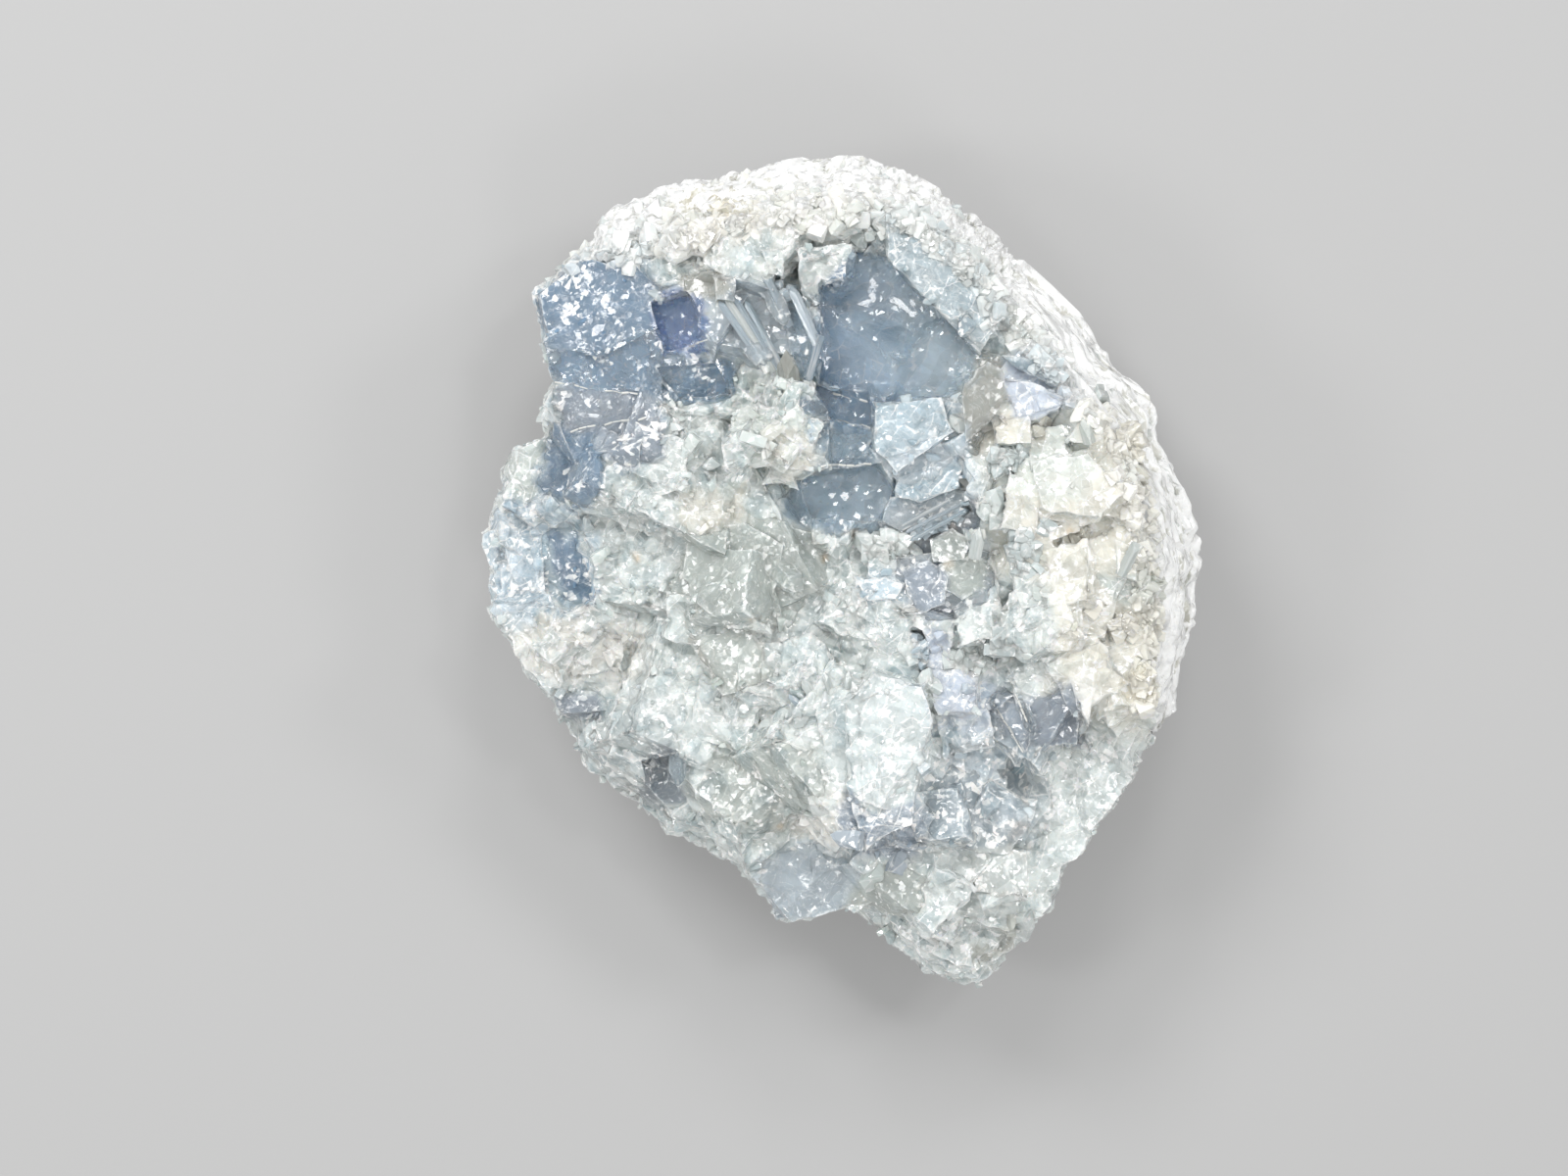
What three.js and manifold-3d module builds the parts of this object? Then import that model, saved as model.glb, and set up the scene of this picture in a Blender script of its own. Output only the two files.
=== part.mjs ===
// A fragment of a celestite geode: blue and white crystals grown together on the geode's ridged wall.
// Millimetres, +Z out of the crystal side, +X and +Y right and up in the photograph.
import * as THREE from 'three';
import { ConvexGeometry } from 'three/addons/geometries/ConvexGeometry.js';
import { mergeVertices } from 'three/addons/utils/BufferGeometryUtils.js';
import Module from 'manifold-3d';

const wasm = await Module();
wasm.setup();

// Driving dimensions in millimetres
const OUTLINE_HEIGHT = 19;
const FRONT_HEIGHT = 35.5;
const BROKEN_EDGE_HEIGHT = 27;
const RIM_HEIGHT = 35;
const BROKEN_EDGE_SLOPE = 2.6;
const CRUST_COVER = 5;
const EDGE_FALL = { width: 9, height: 8 };
const WALL_THICKNESS = 6.2;
const WALL_UNDER_CRYSTALS = 9;
const RIDGE_DEPTH = 1;
const SEAM = 0.3;
const OUTLINE_MARGIN = 0.3;
const WELD = 0.02;

// The flat base and the lower flank, as shares of the outline's reach, with their heights
const BASE_SHARE = 0.52;
const FLANK = [
  { share: 0.75, height: 3.4 },
  { share: 0.92, height: 10 },
];

// How the photograph is read: a pixel's size on the outline, and the eye's distance above it
const MM_PER_PIXEL = 0.12;
const EYE_DISTANCE = 480;
const PICTURE_CENTRE = { column: 800, row: 600 };
const OUTLINE_CENTRE = { column: 861.5, row: 580.5 };

// Steps round the seat between wall and crystals
const SEAT_STEPS = 36;

// The broad blocks under the front: spacing, size and depth in millimetres, lean in radians
const CRUST_BLOCK = { spacing: 12.5, size: 14.5, lean: 0.4, sunk: 1.5 };

// Where the wall reaches the front, as angles round the outline in degrees
const WALL_START = { none: -30, full: -16 };
const WALL_END = { full: 116, none: 134 };

// The outline in pixels, clockwise from the left upper corner
const OUTLINE_PIXELS = [
  [544, 300], [562, 276], [584, 261], [604, 244], [606, 225], [630, 207], [674, 192], [710, 180],
  [759, 173], [807, 165], [843, 159], [884, 159], [919, 173], [957, 195], [989, 216], [1032, 254],
  [1072, 290], [1101, 319], [1123, 352], [1149, 380], [1174, 409], [1186, 448], [1206, 499],
  [1222, 539], [1229, 574], [1221, 600], [1220, 636], [1211, 678], [1203, 718], [1185, 745],
  [1160, 781], [1139, 815], [1117, 842], [1105, 866], [1082, 886], [1071, 922], [1047, 945],
  [1036, 960], [1015, 986], [998, 1002], [979, 1000], [942, 986], [918, 965], [889, 944],
  [862, 926], [795, 942], [787, 928], [776, 901], [743, 873], [703, 857], [675, 846], [650, 818],
  [618, 800], [593, 779], [578, 746], [562, 711], [538, 682], [521, 650], [503, 629], [504, 584],
  [494, 541], [503, 511], [516, 504], [514, 480], [526, 461], [557, 446], [554, 427], [564, 394],
  [553, 351],
];

// Broad swells and hollows of the crystal side: centre in pixels, radius and rise in millimetres
const SWELLS = [
  { name: 'upper left block', column: 600, row: 330, radius: 9, rise: 2.5 },
  { name: 'top crust', column: 760, row: 215, radius: 11, rise: 2 },
  { name: 'deep window', column: 690, row: 335, radius: 5, rise: -3 },
  { name: 'white knob', column: 795, row: 425, radius: 6, rise: 6.5 },
  { name: 'middle crust', column: 690, row: 480, radius: 9, rise: 3 },
  { name: 'left pocket', column: 580, row: 580, radius: 5, rise: -5 },
  { name: 'heart', column: 765, row: 590, radius: 8, rise: 1 },
  { name: 'pale blocks', column: 940, row: 455, radius: 7, rise: 3 },
  { name: 'right mass', column: 1110, row: 520, radius: 13, rise: 5 },
  { name: 'lower right shoulder', column: 1140, row: 680, radius: 9, rise: 2 },
  { name: 'lobe', column: 900, row: 775, radius: 9, rise: 7 },
  { name: 'middle right', column: 1030, row: 640, radius: 7, rise: 3 },
  { name: 'slate hollow', column: 1000, row: 800, radius: 7, rise: -2.5 },
  { name: 'lower left knob', column: 590, row: 665, radius: 7, rise: 3 },
  { name: 'lower left', column: 650, row: 770, radius: 8, rise: -3 },
  { name: 'bottom tip', column: 975, row: 950, radius: 9, rise: -4 },
];

// Repeatable random numbers from 0 to 1
function randomSource(seed) {
  let state = seed;
  return () => {
    state = (state + 0x6d2b79f5) | 0;
    let mixed = Math.imul(state ^ (state >>> 15), 1 | state);
    mixed = (mixed + Math.imul(mixed ^ (mixed >>> 7), 61 | mixed)) ^ mixed;
    return ((mixed ^ (mixed >>> 14)) >>> 0) / 4294967296;
  };
}

// The point at a given height that the photograph shows at a pixel
function sight(column, row, height) {
  const scale = MM_PER_PIXEL * (EYE_DISTANCE - (height - OUTLINE_HEIGHT)) / EYE_DISTANCE;
  const eyeX = (PICTURE_CENTRE.column - OUTLINE_CENTRE.column) * MM_PER_PIXEL;
  const eyeY = (OUTLINE_CENTRE.row - PICTURE_CENTRE.row) * MM_PER_PIXEL;
  return new THREE.Vector3(
    eyeX + (column - PICTURE_CENTRE.column) * scale,
    eyeY + (PICTURE_CENTRE.row - row) * scale,
    height,
  );
}

const outline = OUTLINE_PIXELS.map(([column, row]) => sight(column, row, OUTLINE_HEIGHT));

// The outline's distance from the middle in a direction
function reach(angle) {
  const dx = Math.cos(angle);
  const dy = Math.sin(angle);
  let distance = 0;
  outline.forEach((from, index) => {
    const to = outline[(index + 1) % outline.length];
    const edgeX = to.x - from.x;
    const edgeY = to.y - from.y;
    const cross = dx * edgeY - dy * edgeX;
    if (Math.abs(cross) < 1e-9) return;
    const along = (from.x * edgeY - from.y * edgeX) / cross;
    const onEdge = (from.x * dy - from.y * dx) / cross;
    if (along > 0 && onEdge >= 0 && onEdge <= 1) distance = Math.max(distance, along);
  });
  return distance;
}

// How much of the wall reaches the front in a direction: 1 along the ridged rim, 0 along the broken edges
function wallShare(angle) {
  const degrees = THREE.MathUtils.euclideanModulo(THREE.MathUtils.radToDeg(angle) + 90, 360) - 90;
  const rising = THREE.MathUtils.smoothstep(degrees, WALL_START.none, WALL_START.full);
  const falling = 1 - THREE.MathUtils.smoothstep(degrees, WALL_END.full, WALL_END.none);
  return rising * falling;
}

// How far the front's border lies inside the outline
function bandWidth(angle) {
  return THREE.MathUtils.lerp(BROKEN_EDGE_SLOPE, WALL_THICKNESS, wallShare(angle));
}

// The crystal side's height, from its swells and hollows
function frontHeight(x, y) {
  return SWELLS.reduce((height, swell) => {
    const centre = sight(swell.column, swell.row, FRONT_HEIGHT);
    const distance = Math.hypot(x - centre.x, y - centre.y) / swell.radius;
    return height + swell.rise * Math.exp(-distance * distance);
  }, FRONT_HEIGHT);
}

// The same height, lowered towards the broken edges
function crustHeight(x, y) {
  const angle = Math.atan2(y, x);
  const inside = reach(angle) - bandWidth(angle) - Math.hypot(x, y);
  const drop = 1 - THREE.MathUtils.smoothstep(inside, 0, EDGE_FALL.width);
  return frontHeight(x, y) - drop * (1 - wallShare(angle)) * EDGE_FALL.height;
}

// A closed body whose rings of points go from a lower pole to an upper pole
function ringBody(rings) {
  const steps = rings[1].length;
  const positions = rings.flat().flatMap((point) => point.toArray());
  const triangles = [];
  const ringStart = (index) => 1 + (index - 1) * steps;
  const lastRing = rings.length - 2;
  const topPole = ringStart(lastRing) + steps;
  for (let step = 0; step < steps; step += 1) {
    const next = (step + 1) % steps;
    triangles.push(0, ringStart(1) + next, ringStart(1) + step);
    for (let index = 1; index < lastRing; index += 1) {
      const low = ringStart(index);
      const high = ringStart(index + 1);
      triangles.push(low + step, low + next, high + next);
      triangles.push(low + step, high + next, high + step);
    }
    triangles.push(topPole, ringStart(lastRing) + step, ringStart(lastRing) + next);
  }
  const geometry = new THREE.BufferGeometry();
  geometry.setAttribute('position', new THREE.Float32BufferAttribute(positions, 3));
  geometry.setIndex(triangles);
  return geometry;
}

// One ring of points; place(angle, step) gives each point's distance from the middle and its height
function ring(angles, place) {
  return angles.map((angle, step) => {
    const { distance, height } = place(angle, step);
    return new THREE.Vector3(Math.cos(angle) * distance, Math.sin(angle) * distance, height);
  });
}

// A geometry as a solid that can be joined and cut
function solid(geometry) {
  const bare = geometry.clone();
  bare.deleteAttribute('normal');
  bare.deleteAttribute('uv');
  const merged = mergeVertices(bare, 1e-4);
  return new wasm.Manifold(new wasm.Mesh({
    numProp: 3,
    vertProperties: Float32Array.from(merged.attributes.position.array),
    triVerts: Uint32Array.from(merged.index.array),
    tolerance: WELD,
  }));
}

// A solid's largest piece, without loose chips and sealed pockets
function largestPiece(body) {
  return body.decompose().reduce((largest, piece) => (piece.volume() > largest.volume() ? piece : largest));
}

// A solid as a geometry with flat faces
function faceted(body) {
  const mesh = largestPiece(body).getMesh();
  const geometry = new THREE.BufferGeometry();
  geometry.setAttribute('position', new THREE.Float32BufferAttribute(mesh.vertProperties, 3));
  geometry.setIndex(Array.from(mesh.triVerts));
  const flat = geometry.toNonIndexed();
  flat.computeVertexNormals();
  return flat;
}

// The whole fragment before its crystals: flat base, lumpy flank, ridged rim and a low front
function fragmentBody() {
  const random = randomSource(11);
  const jitter = (size) => (random() - 0.5) * 2 * size;
  const corners = outline.toReversed();
  const angles = corners.map((corner) => Math.atan2(corner.y, corner.x));
  const reaches = corners.map((corner) => Math.hypot(corner.x, corner.y));
  const rings = [[new THREE.Vector3(0, 0, 0)]];
  rings.push(ring(angles, (angle, step) => ({
    distance: reaches[step] * BASE_SHARE + jitter(1.5),
    height: 0,
  })));
  FLANK.forEach(({ share, height }) => {
    const uneven = angles.map((angle) => angle + jitter(0.03));
    rings.push(ring(uneven, (angle, step) => ({
      distance: reaches[step] * share + jitter(1.4),
      height: height + jitter(1.6),
    })));
  });
  rings.push(ring(angles, (angle, step) => ({
    distance: reaches[step],
    height: OUTLINE_HEIGHT + jitter(2.2),
  })));
  const bandRings = 4;
  for (let band = 1; band <= bandRings; band += 1) {
    const share = band / bandRings;
    const ridge = band % 2 === 0 ? RIDGE_DEPTH : -RIDGE_DEPTH;
    rings.push(ring(angles, (angle, step) => {
      const border = THREE.MathUtils.lerp(BROKEN_EDGE_HEIGHT, RIM_HEIGHT, wallShare(angle));
      const wobble = 0.4 * Math.sin(angle * 9 + band * 1.7);
      const relief = (ridge + wobble) * wallShare(angle) * (1 - share ** 3);
      return {
        distance: reaches[step] - bandWidth(angle) * share + relief,
        height: THREE.MathUtils.lerp(OUTLINE_HEIGHT, border, share) + wobble + jitter(0.3),
      };
    }));
  }
  rings.push(ring(angles, (angle, step) => {
    const distance = (reaches[step] - bandWidth(angle)) * 0.62;
    const crust = crustHeight(Math.cos(angle) * distance, Math.sin(angle) * distance);
    return { distance, height: crust - CRUST_COVER };
  }));
  rings.push([new THREE.Vector3(0, 0, crustHeight(0, 0) - CRUST_COVER)]);
  return solid(ringBody(rings));
}

// The space inside the outline as the eye sees it, a little wider than the body: no crystal leaves it
function outlineSpace() {
  const levels = [-5, 60];
  const rings = levels.map((level) => OUTLINE_PIXELS.toReversed().map(([column, row]) => {
    const corner = sight(column, row, level);
    const widened = 1 + OUTLINE_MARGIN / Math.hypot(corner.x, corner.y);
    return new THREE.Vector3(corner.x * widened, corner.y * widened, level);
  }));
  const poles = levels.map((level) => new THREE.Vector3(0, 0, level));
  return solid(ringBody([[poles[0]], ...rings, [poles[1]]]));
}

// Everything below the seat that the crystals grew on, raised and narrowed by a gap
function belowSeat(gap) {
  const random = randomSource(23);
  const outside = 1.4;
  const underside = -20;
  const above = 70;
  const profile = [
    { inside: 0.95, wall: 22 },
    { inside: 0.84, wall: 14 },
    { inside: 0.55, wall: WALL_UNDER_CRYSTALS + 0.5 },
  ];
  const angles = Array.from({ length: SEAT_STEPS }, (_, step) => (step / SEAT_STEPS) * Math.PI * 2);
  const waves = angles.map(() => (random() - 0.5) * 1.6);
  const inner = (angle, step) => reach(angle) - bandWidth(angle) + waves[step] * wallShare(angle) - gap;
  const level = (angle, wall) => THREE.MathUtils.lerp(WALL_UNDER_CRYSTALS, wall, wallShare(angle)) + gap;
  const rings = [[new THREE.Vector3(0, 0, underside)]];
  rings.push(ring(angles, (angle) => ({ distance: reach(angle) * outside, height: underside })));
  rings.push(ring(angles, (angle) => ({ distance: reach(angle) * outside, height: level(angle, above) })));
  rings.push(ring(angles, (angle, step) => ({
    distance: inner(angle, step),
    height: level(angle, above) + waves[step] * 0.5,
  })));
  profile.forEach(({ inside, wall }) => {
    rings.push(ring(angles, (angle, step) => ({
      distance: inner(angle, step) * inside,
      height: level(angle, wall) + waves[step] * 0.5,
    })));
  });
  rings.push([new THREE.Vector3(0, 0, WALL_UNDER_CRYSTALS + gap)]);
  return solid(ringBody(rings));
}

// The middle of a set of points
function average(points) {
  return points.reduce((sum, point) => sum.add(point), new THREE.Vector3()).divideScalar(points.length);
}

// The corners of a flat crystal face: pixels, the height at their middle and the slope along X and Y
function faceCorners(pixels, height, slope) {
  const middle = average(pixels.map(([column, row]) => sight(column, row, height)));
  return pixels.map(([column, row]) => {
    const level = sight(column, row, height);
    const tilted = height + (level.x - middle.x) * slope[0] + (level.y - middle.y) * slope[1];
    return sight(column, row, tilted);
  });
}

// A convex crystal under (or above) a flat face, whose far end is flared and moved by a depth
function facePrism({ pixels, height, slope = [0, 0], depth = 12, flare = 1.14 }) {
  const corners = faceCorners(pixels, height, slope);
  const middle = average(corners);
  const farEnd = corners.map((point) => new THREE.Vector3(
    middle.x + (point.x - middle.x) * flare,
    middle.y + (point.y - middle.y) * flare,
    point.z - depth,
  ));
  return solid(new ConvexGeometry([...corners, ...farEnd]));
}

// A celestite crystal along +Z from its root to its chisel tip: a flattened six-sided prism
function chiselCrystal(width, thickness, length) {
  const section = [[0.5, 0], [0.3, 0.5], [-0.3, 0.5], [-0.5, 0], [-0.3, -0.5], [0.3, -0.5]];
  const shoulder = length - width * 0.42;
  const points = [];
  section.forEach(([across, through]) => {
    points.push(new THREE.Vector3(across * width, through * thickness, 0));
    points.push(new THREE.Vector3(across * width, through * thickness, shoulder));
  });
  points.push(new THREE.Vector3(0.2 * width, 0, length));
  points.push(new THREE.Vector3(-0.2 * width, 0, length));
  return points;
}

// Points turned from +Z to a direction and about it, then moved to a root
function placed(points, root, direction, roll) {
  const upright = new THREE.Vector3(0, 0, 1);
  const turn = new THREE.Quaternion().setFromUnitVectors(upright, direction.clone().normalize());
  const spin = new THREE.Quaternion().setFromAxisAngle(upright, roll);
  return points.map((point) => point.clone().applyQuaternion(spin).applyQuaternion(turn).add(root));
}

// A long crystal between two pixels, each with its height
function blade({ from, to, width, thickness }) {
  const root = sight(...from);
  const axis = sight(...to).sub(root);
  return solid(new ConvexGeometry(placed(chiselCrystal(width, thickness, axis.length()), root, axis, 0)));
}

// A cleaved block with uneven corners: its top face is centred on a point and leans towards a direction
function block(top, direction, roll, size, random) {
  const corners = [];
  [-1, 1].forEach((x) => [-1, 1].forEach((y) => [-1.3, 0].forEach((z) => {
    const uneven = () => 0.72 + random() * 0.56;
    const taper = z < 0 ? 1.15 : 1;
    corners.push(new THREE.Vector3(x * uneven() * taper, y * uneven() * taper, z + (random() - 0.5) * 0.3));
  })));
  const points = corners.map((corner) => corner.multiplyScalar(size / 2));
  return solid(new ConvexGeometry(placed(points, top, direction, roll)));
}

// A direction that leans from straight up by up to an angle in radians
function leaning(lean, random) {
  const tilt = Math.sqrt(random()) * lean;
  const heading = random() * Math.PI * 2;
  return new THREE.Vector3(
    Math.cos(heading) * Math.sin(tilt),
    Math.sin(heading) * Math.sin(tilt),
    Math.cos(tilt),
  );
}

// Crystals with one flat face towards the front, by where they grow
const FLAT_CRYSTALS = {
  upperLeftBlock: [
    { pixels: [[550, 300], [592, 264], [656, 272], [676, 300], [674, 334], [610, 366], [560, 350]],
      height: 36.5, slope: [0.18, -0.06], depth: 16, flare: 1.04 },
    { pixels: [[590, 356], [664, 330], [678, 352], [676, 402], [606, 394], [562, 384]],
      height: 35.7, slope: [0.12, 0.22], depth: 14, flare: 1.06 },
    { pixels: [[568, 394], [659, 405], [659, 433], [581, 440]], height: 33, slope: [0.1, 0.35] },
    { pixels: [[560, 444], [607, 440], [602, 506], [562, 500]], height: 30.5, slope: [0.3, 0.1] },
    { pixels: [[618, 436], [668, 428], [676, 462], [632, 480]], height: 34, slope: [0.2, 0.3] },
    { pixels: [[519, 478], [545, 458], [560, 470], [556, 504], [520, 502]], height: 26, slope: [0.3, 0] },
  ],
  topCrust: [
    { pixels: [[690, 282], [724, 276], [726, 303], [700, 304]], height: 35.5, slope: [0.2, 0.5] },
    { pixels: [[668, 288], [698, 284], [702, 304], [676, 308]], height: 38.5, slope: [0, 0.2] },
    { pixels: [[726, 280], [752, 282], [750, 308], [730, 306]], height: 39.5, slope: [0, 0.3] },
    { pixels: [[776, 254], [802, 250], [800, 284], [782, 280]], height: 40, slope: [0.1, 0.3] },
    { pixels: [[814, 252], [872, 250], [870, 292], [832, 314], [816, 290]],
      height: 40.5, slope: [0, 0.25] },
    { pixels: [[905, 202], [958, 226], [1008, 282], [1018, 340], [1000, 362], [960, 322], [905, 262]],
      height: 38.6, slope: [0.05, 0.1] },
  ],
  bladesBesideWindow: [
    { pixels: [[804, 294], [822, 306], [834, 340], [835, 372], [818, 391], [808, 364], [800, 330]],
      height: 38, slope: [0.3, 0], depth: 9 },
    { pixels: [[740, 300], [776, 292], [800, 340], [790, 372], [760, 352]],
      height: 36, slope: [-0.1, 0.3] },
  ],
  paleBlocks: [
    { pixels: [[891, 409], [960, 406], [975, 440], [915, 482], [892, 459]],
      height: 40.8, slope: [-0.06, -0.1] },
    { pixels: [[916, 486], [981, 462], [981, 499], [940, 514], [914, 507]],
      height: 38.6, slope: [0.1, -0.15] },
    { pixels: [[988, 380], [1008, 368], [1023, 377], [1033, 410], [1003, 431], [986, 452], [981, 403]],
      height: 42.6, slope: [-0.12, 0.16], flare: 1.06 },
    { pixels: [[1022, 362], [1076, 368], [1076, 393], [1039, 378]], height: 38.4, slope: [0.1, 0.4] },
    { pixels: [[1024, 382], [1098, 408], [1052, 430], [1036, 423]], height: 41.5, slope: [0, 0.2] },
    { pixels: [[1012, 424], [1050, 424], [1052, 452], [1014, 456]], height: 41.8, slope: [0.1, -0.1] },
    { pixels: [[1000, 398], [1034, 402], [1042, 430], [1002, 442]], height: 40.2, slope: [0, 0.1] },
    { pixels: [[838, 438], [889, 440], [891, 474], [852, 474]], height: 35.4, slope: [0.1, -0.3] },
    { pixels: [[900, 470], [985, 430], [992, 468], [918, 496]], height: 38.2, slope: [0.05, 0] },
    { pixels: [[904, 508], [944, 506], [986, 496], [990, 516], [926, 546], [900, 532]],
      height: 37, slope: [0.06, 0.12] },
  ],
  middleRight: [
    { pixels: [[947, 549], [972, 538], [990, 552], [984, 571], [952, 574]], height: 38, slope: [0.1, -0.3] },
    { pixels: [[957, 576], [984, 563], [1009, 572], [1005, 600], [982, 613], [961, 600]],
      height: 38, slope: [-0.2, 0.1] },
    { pixels: [[981, 538], [1008, 538], [1000, 570], [990, 566]], height: 40.2, slope: [0.1, 0.3] },
    { pixels: [[920, 580], [948, 572], [968, 584], [964, 616], [940, 626], [926, 610]],
      height: 38.4, slope: [0.2, -0.2] },
    { pixels: [[876, 594], [904, 586], [922, 596], [916, 612], [884, 614]], height: 38.6, slope: [0, -0.3] },
    { pixels: [[928, 634], [952, 622], [970, 634], [962, 664], [938, 668]],
      height: 38.2, slope: [-0.2, 0.1] },
    { pixels: [[884, 568], [1016, 560], [1024, 640], [928, 680], [890, 626]],
      height: 37.2, slope: [0.03, 0.02] },
    { pixels: [[972, 622], [1010, 614], [1018, 652], [980, 660]], height: 41, slope: [0.1, -0.1] },
  ],
  rightMass: [
    { pixels: [[1106, 420], [1126, 448], [1085, 452]], height: 43, slope: [0.1, 0.2] },
    { pixels: [[1050, 470], [1110, 462], [1150, 500], [1120, 530], [1062, 520]],
      height: 44, slope: [0.1, -0.05] },
    { pixels: [[1139, 552], [1163, 560], [1160, 594], [1141, 586]], height: 42, slope: [0.2, -0.1] },
    { pixels: [[1146, 590], [1198, 590], [1192, 614], [1148, 616]], height: 37.5, slope: [-0.3, 0.3] },
    { pixels: [[1030, 480], [1062, 500], [1058, 548], [1020, 540]], height: 42, slope: [-0.2, 0.1] },
    { pixels: [[1050, 600], [1100, 590], [1108, 640], [1066, 652]], height: 41, slope: [0.1, -0.2] },
    { pixels: [[1130, 640], [1184, 640], [1178, 690], [1136, 700]], height: 38, slope: [-0.1, -0.1] },
    { pixels: [[1034, 474], [1112, 456], [1160, 560], [1128, 652], [1050, 640]],
      height: 40.6, slope: [-0.02, 0.04] },
    { pixels: [[1140, 480], [1174, 516], [1197, 560], [1201, 622], [1194, 690], [1160, 700], [1150, 560]],
      height: 37.4, slope: [-0.2, 0.02] },
  ],
  leftRim: [
    { pixels: [[508, 524], [540, 512], [552, 540], [530, 566], [504, 556]],
      height: 27.5, slope: [0.2, 0] },
    { pixels: [[508, 570], [534, 576], [536, 610], [510, 606]], height: 26.5, slope: [0.2, 0.1] },
    { pixels: [[598, 568], [630, 568], [630, 590], [602, 590]], height: 35, slope: [-0.3, 0.3] },
    { pixels: [[544, 648], [584, 636], [638, 650], [634, 686], [562, 690]],
      height: 32.5, slope: [0.1, 0.1] },
  ],
  lowerLeft: [
    { pixels: [[566, 713], [612, 710], [612, 731], [576, 733]], height: 26.5, slope: [0.1, 0.3] },
    { pixels: [[604, 738], [642, 726], [646, 746], [612, 759]], height: 30.5, slope: [0.2, -0.4] },
    { pixels: [[678, 768], [704, 766], [705, 798], [692, 804], [680, 798]],
      height: 32, slope: [0, -0.2], flare: 1 },
    { pixels: [[716, 770], [760, 760], [776, 796], [744, 816], [716, 804]],
      height: 32.5, slope: [-0.2, 0.1] },
    { pixels: [[600, 752], [650, 770], [644, 806], [610, 786]], height: 24, slope: [0.2, 0.2], flare: 1 },
    { pixels: [[668, 822], [716, 818], [730, 852], [690, 850]],
      height: 24.5, slope: [0.1, 0.2], flare: 1 },
  ],
  heart: [
    { pixels: [[700, 545], [760, 532], [800, 556], [790, 606], [730, 616], [696, 590]],
      height: 37.5, slope: [0, 0.1] },
    { pixels: [[700, 650], [770, 640], [790, 690], [736, 712]], height: 37.5, slope: [0.1, -0.1] },
    { pixels: [[682, 606], [790, 596], [806, 652], [728, 668], [676, 650]], height: 36.8 },
  ],
  lobe: [
    { pixels: [[862, 716], [892, 686], [942, 700], [951, 735], [930, 840], [884, 868], [862, 800]],
      height: 42.6, slope: [-0.03, 0.05], depth: 14 },
    { pixels: [[948, 684], [1002, 684], [1000, 730], [954, 730]], height: 38, slope: [0.1, -0.2] },
    { pixels: [[952, 726], [1008, 722], [1016, 762], [964, 776]], height: 36.2, slope: [0.1, 0.1] },
    { pixels: [[1054, 728], [1076, 704], [1102, 722], [1100, 760], [1062, 762]],
      height: 36.5, slope: [-0.2, -0.1] },
    { pixels: [[1090, 690], [1118, 702], [1112, 742], [1098, 722]], height: 40, slope: [0.1, 0.1] },
    { pixels: [[832, 818], [860, 816], [860, 854], [838, 856]], height: 37, slope: [-0.1, -0.2] },
    { pixels: [[784, 790], [826, 780], [832, 820], [800, 840]], height: 35, slope: [0.2, 0.3] },
  ],
  bottom: [
    { pixels: [[779, 902], [797, 870], [860, 880], [862, 925], [790, 940]],
      height: 25.5, slope: [0.08, 0.14],
      depth: 11, flare: 0.94 },
    { pixels: [[876, 900], [938, 898], [940, 930], [896, 934]],
      height: 26.5, slope: [0.1, -0.2], flare: 1 },
    { pixels: [[990, 864], [1050, 868], [1050, 914], [996, 910]], height: 33.5, slope: [0.1, -0.1] },
    { pixels: [[938, 948], [988, 936], [1030, 952], [1026, 974], [998, 998], [966, 994]], height: 26,
      slope: [0, 0.12], depth: 13, flare: 0.96 },
    { pixels: [[1050, 902], [1078, 896], [1070, 934], [1056, 940]],
      height: 26, slope: [-0.2, 0.1], flare: 0.98 },
  ],
};

// Long crystals and the thin bright plates in the slate hollow: column, row and height of both ends
const BLADES = [
  { from: [731, 302, 34], to: [787, 379, 38.5], width: 3, thickness: 2.4 },
  { from: [772, 272, 36], to: [804, 334, 39.5], width: 2.6, thickness: 2.2 },
  { from: [1006, 722, 33], to: [1046, 773, 37], width: 1.2, thickness: 5 },
  { from: [1032, 704, 34], to: [1053, 753, 37], width: 1, thickness: 5 },
  { from: [776, 560, 34], to: [816, 604, 38.5], width: 3.4, thickness: 3 },
  { from: [1012, 470, 36], to: [990, 520, 41], width: 4, thickness: 3 },
];

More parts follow.
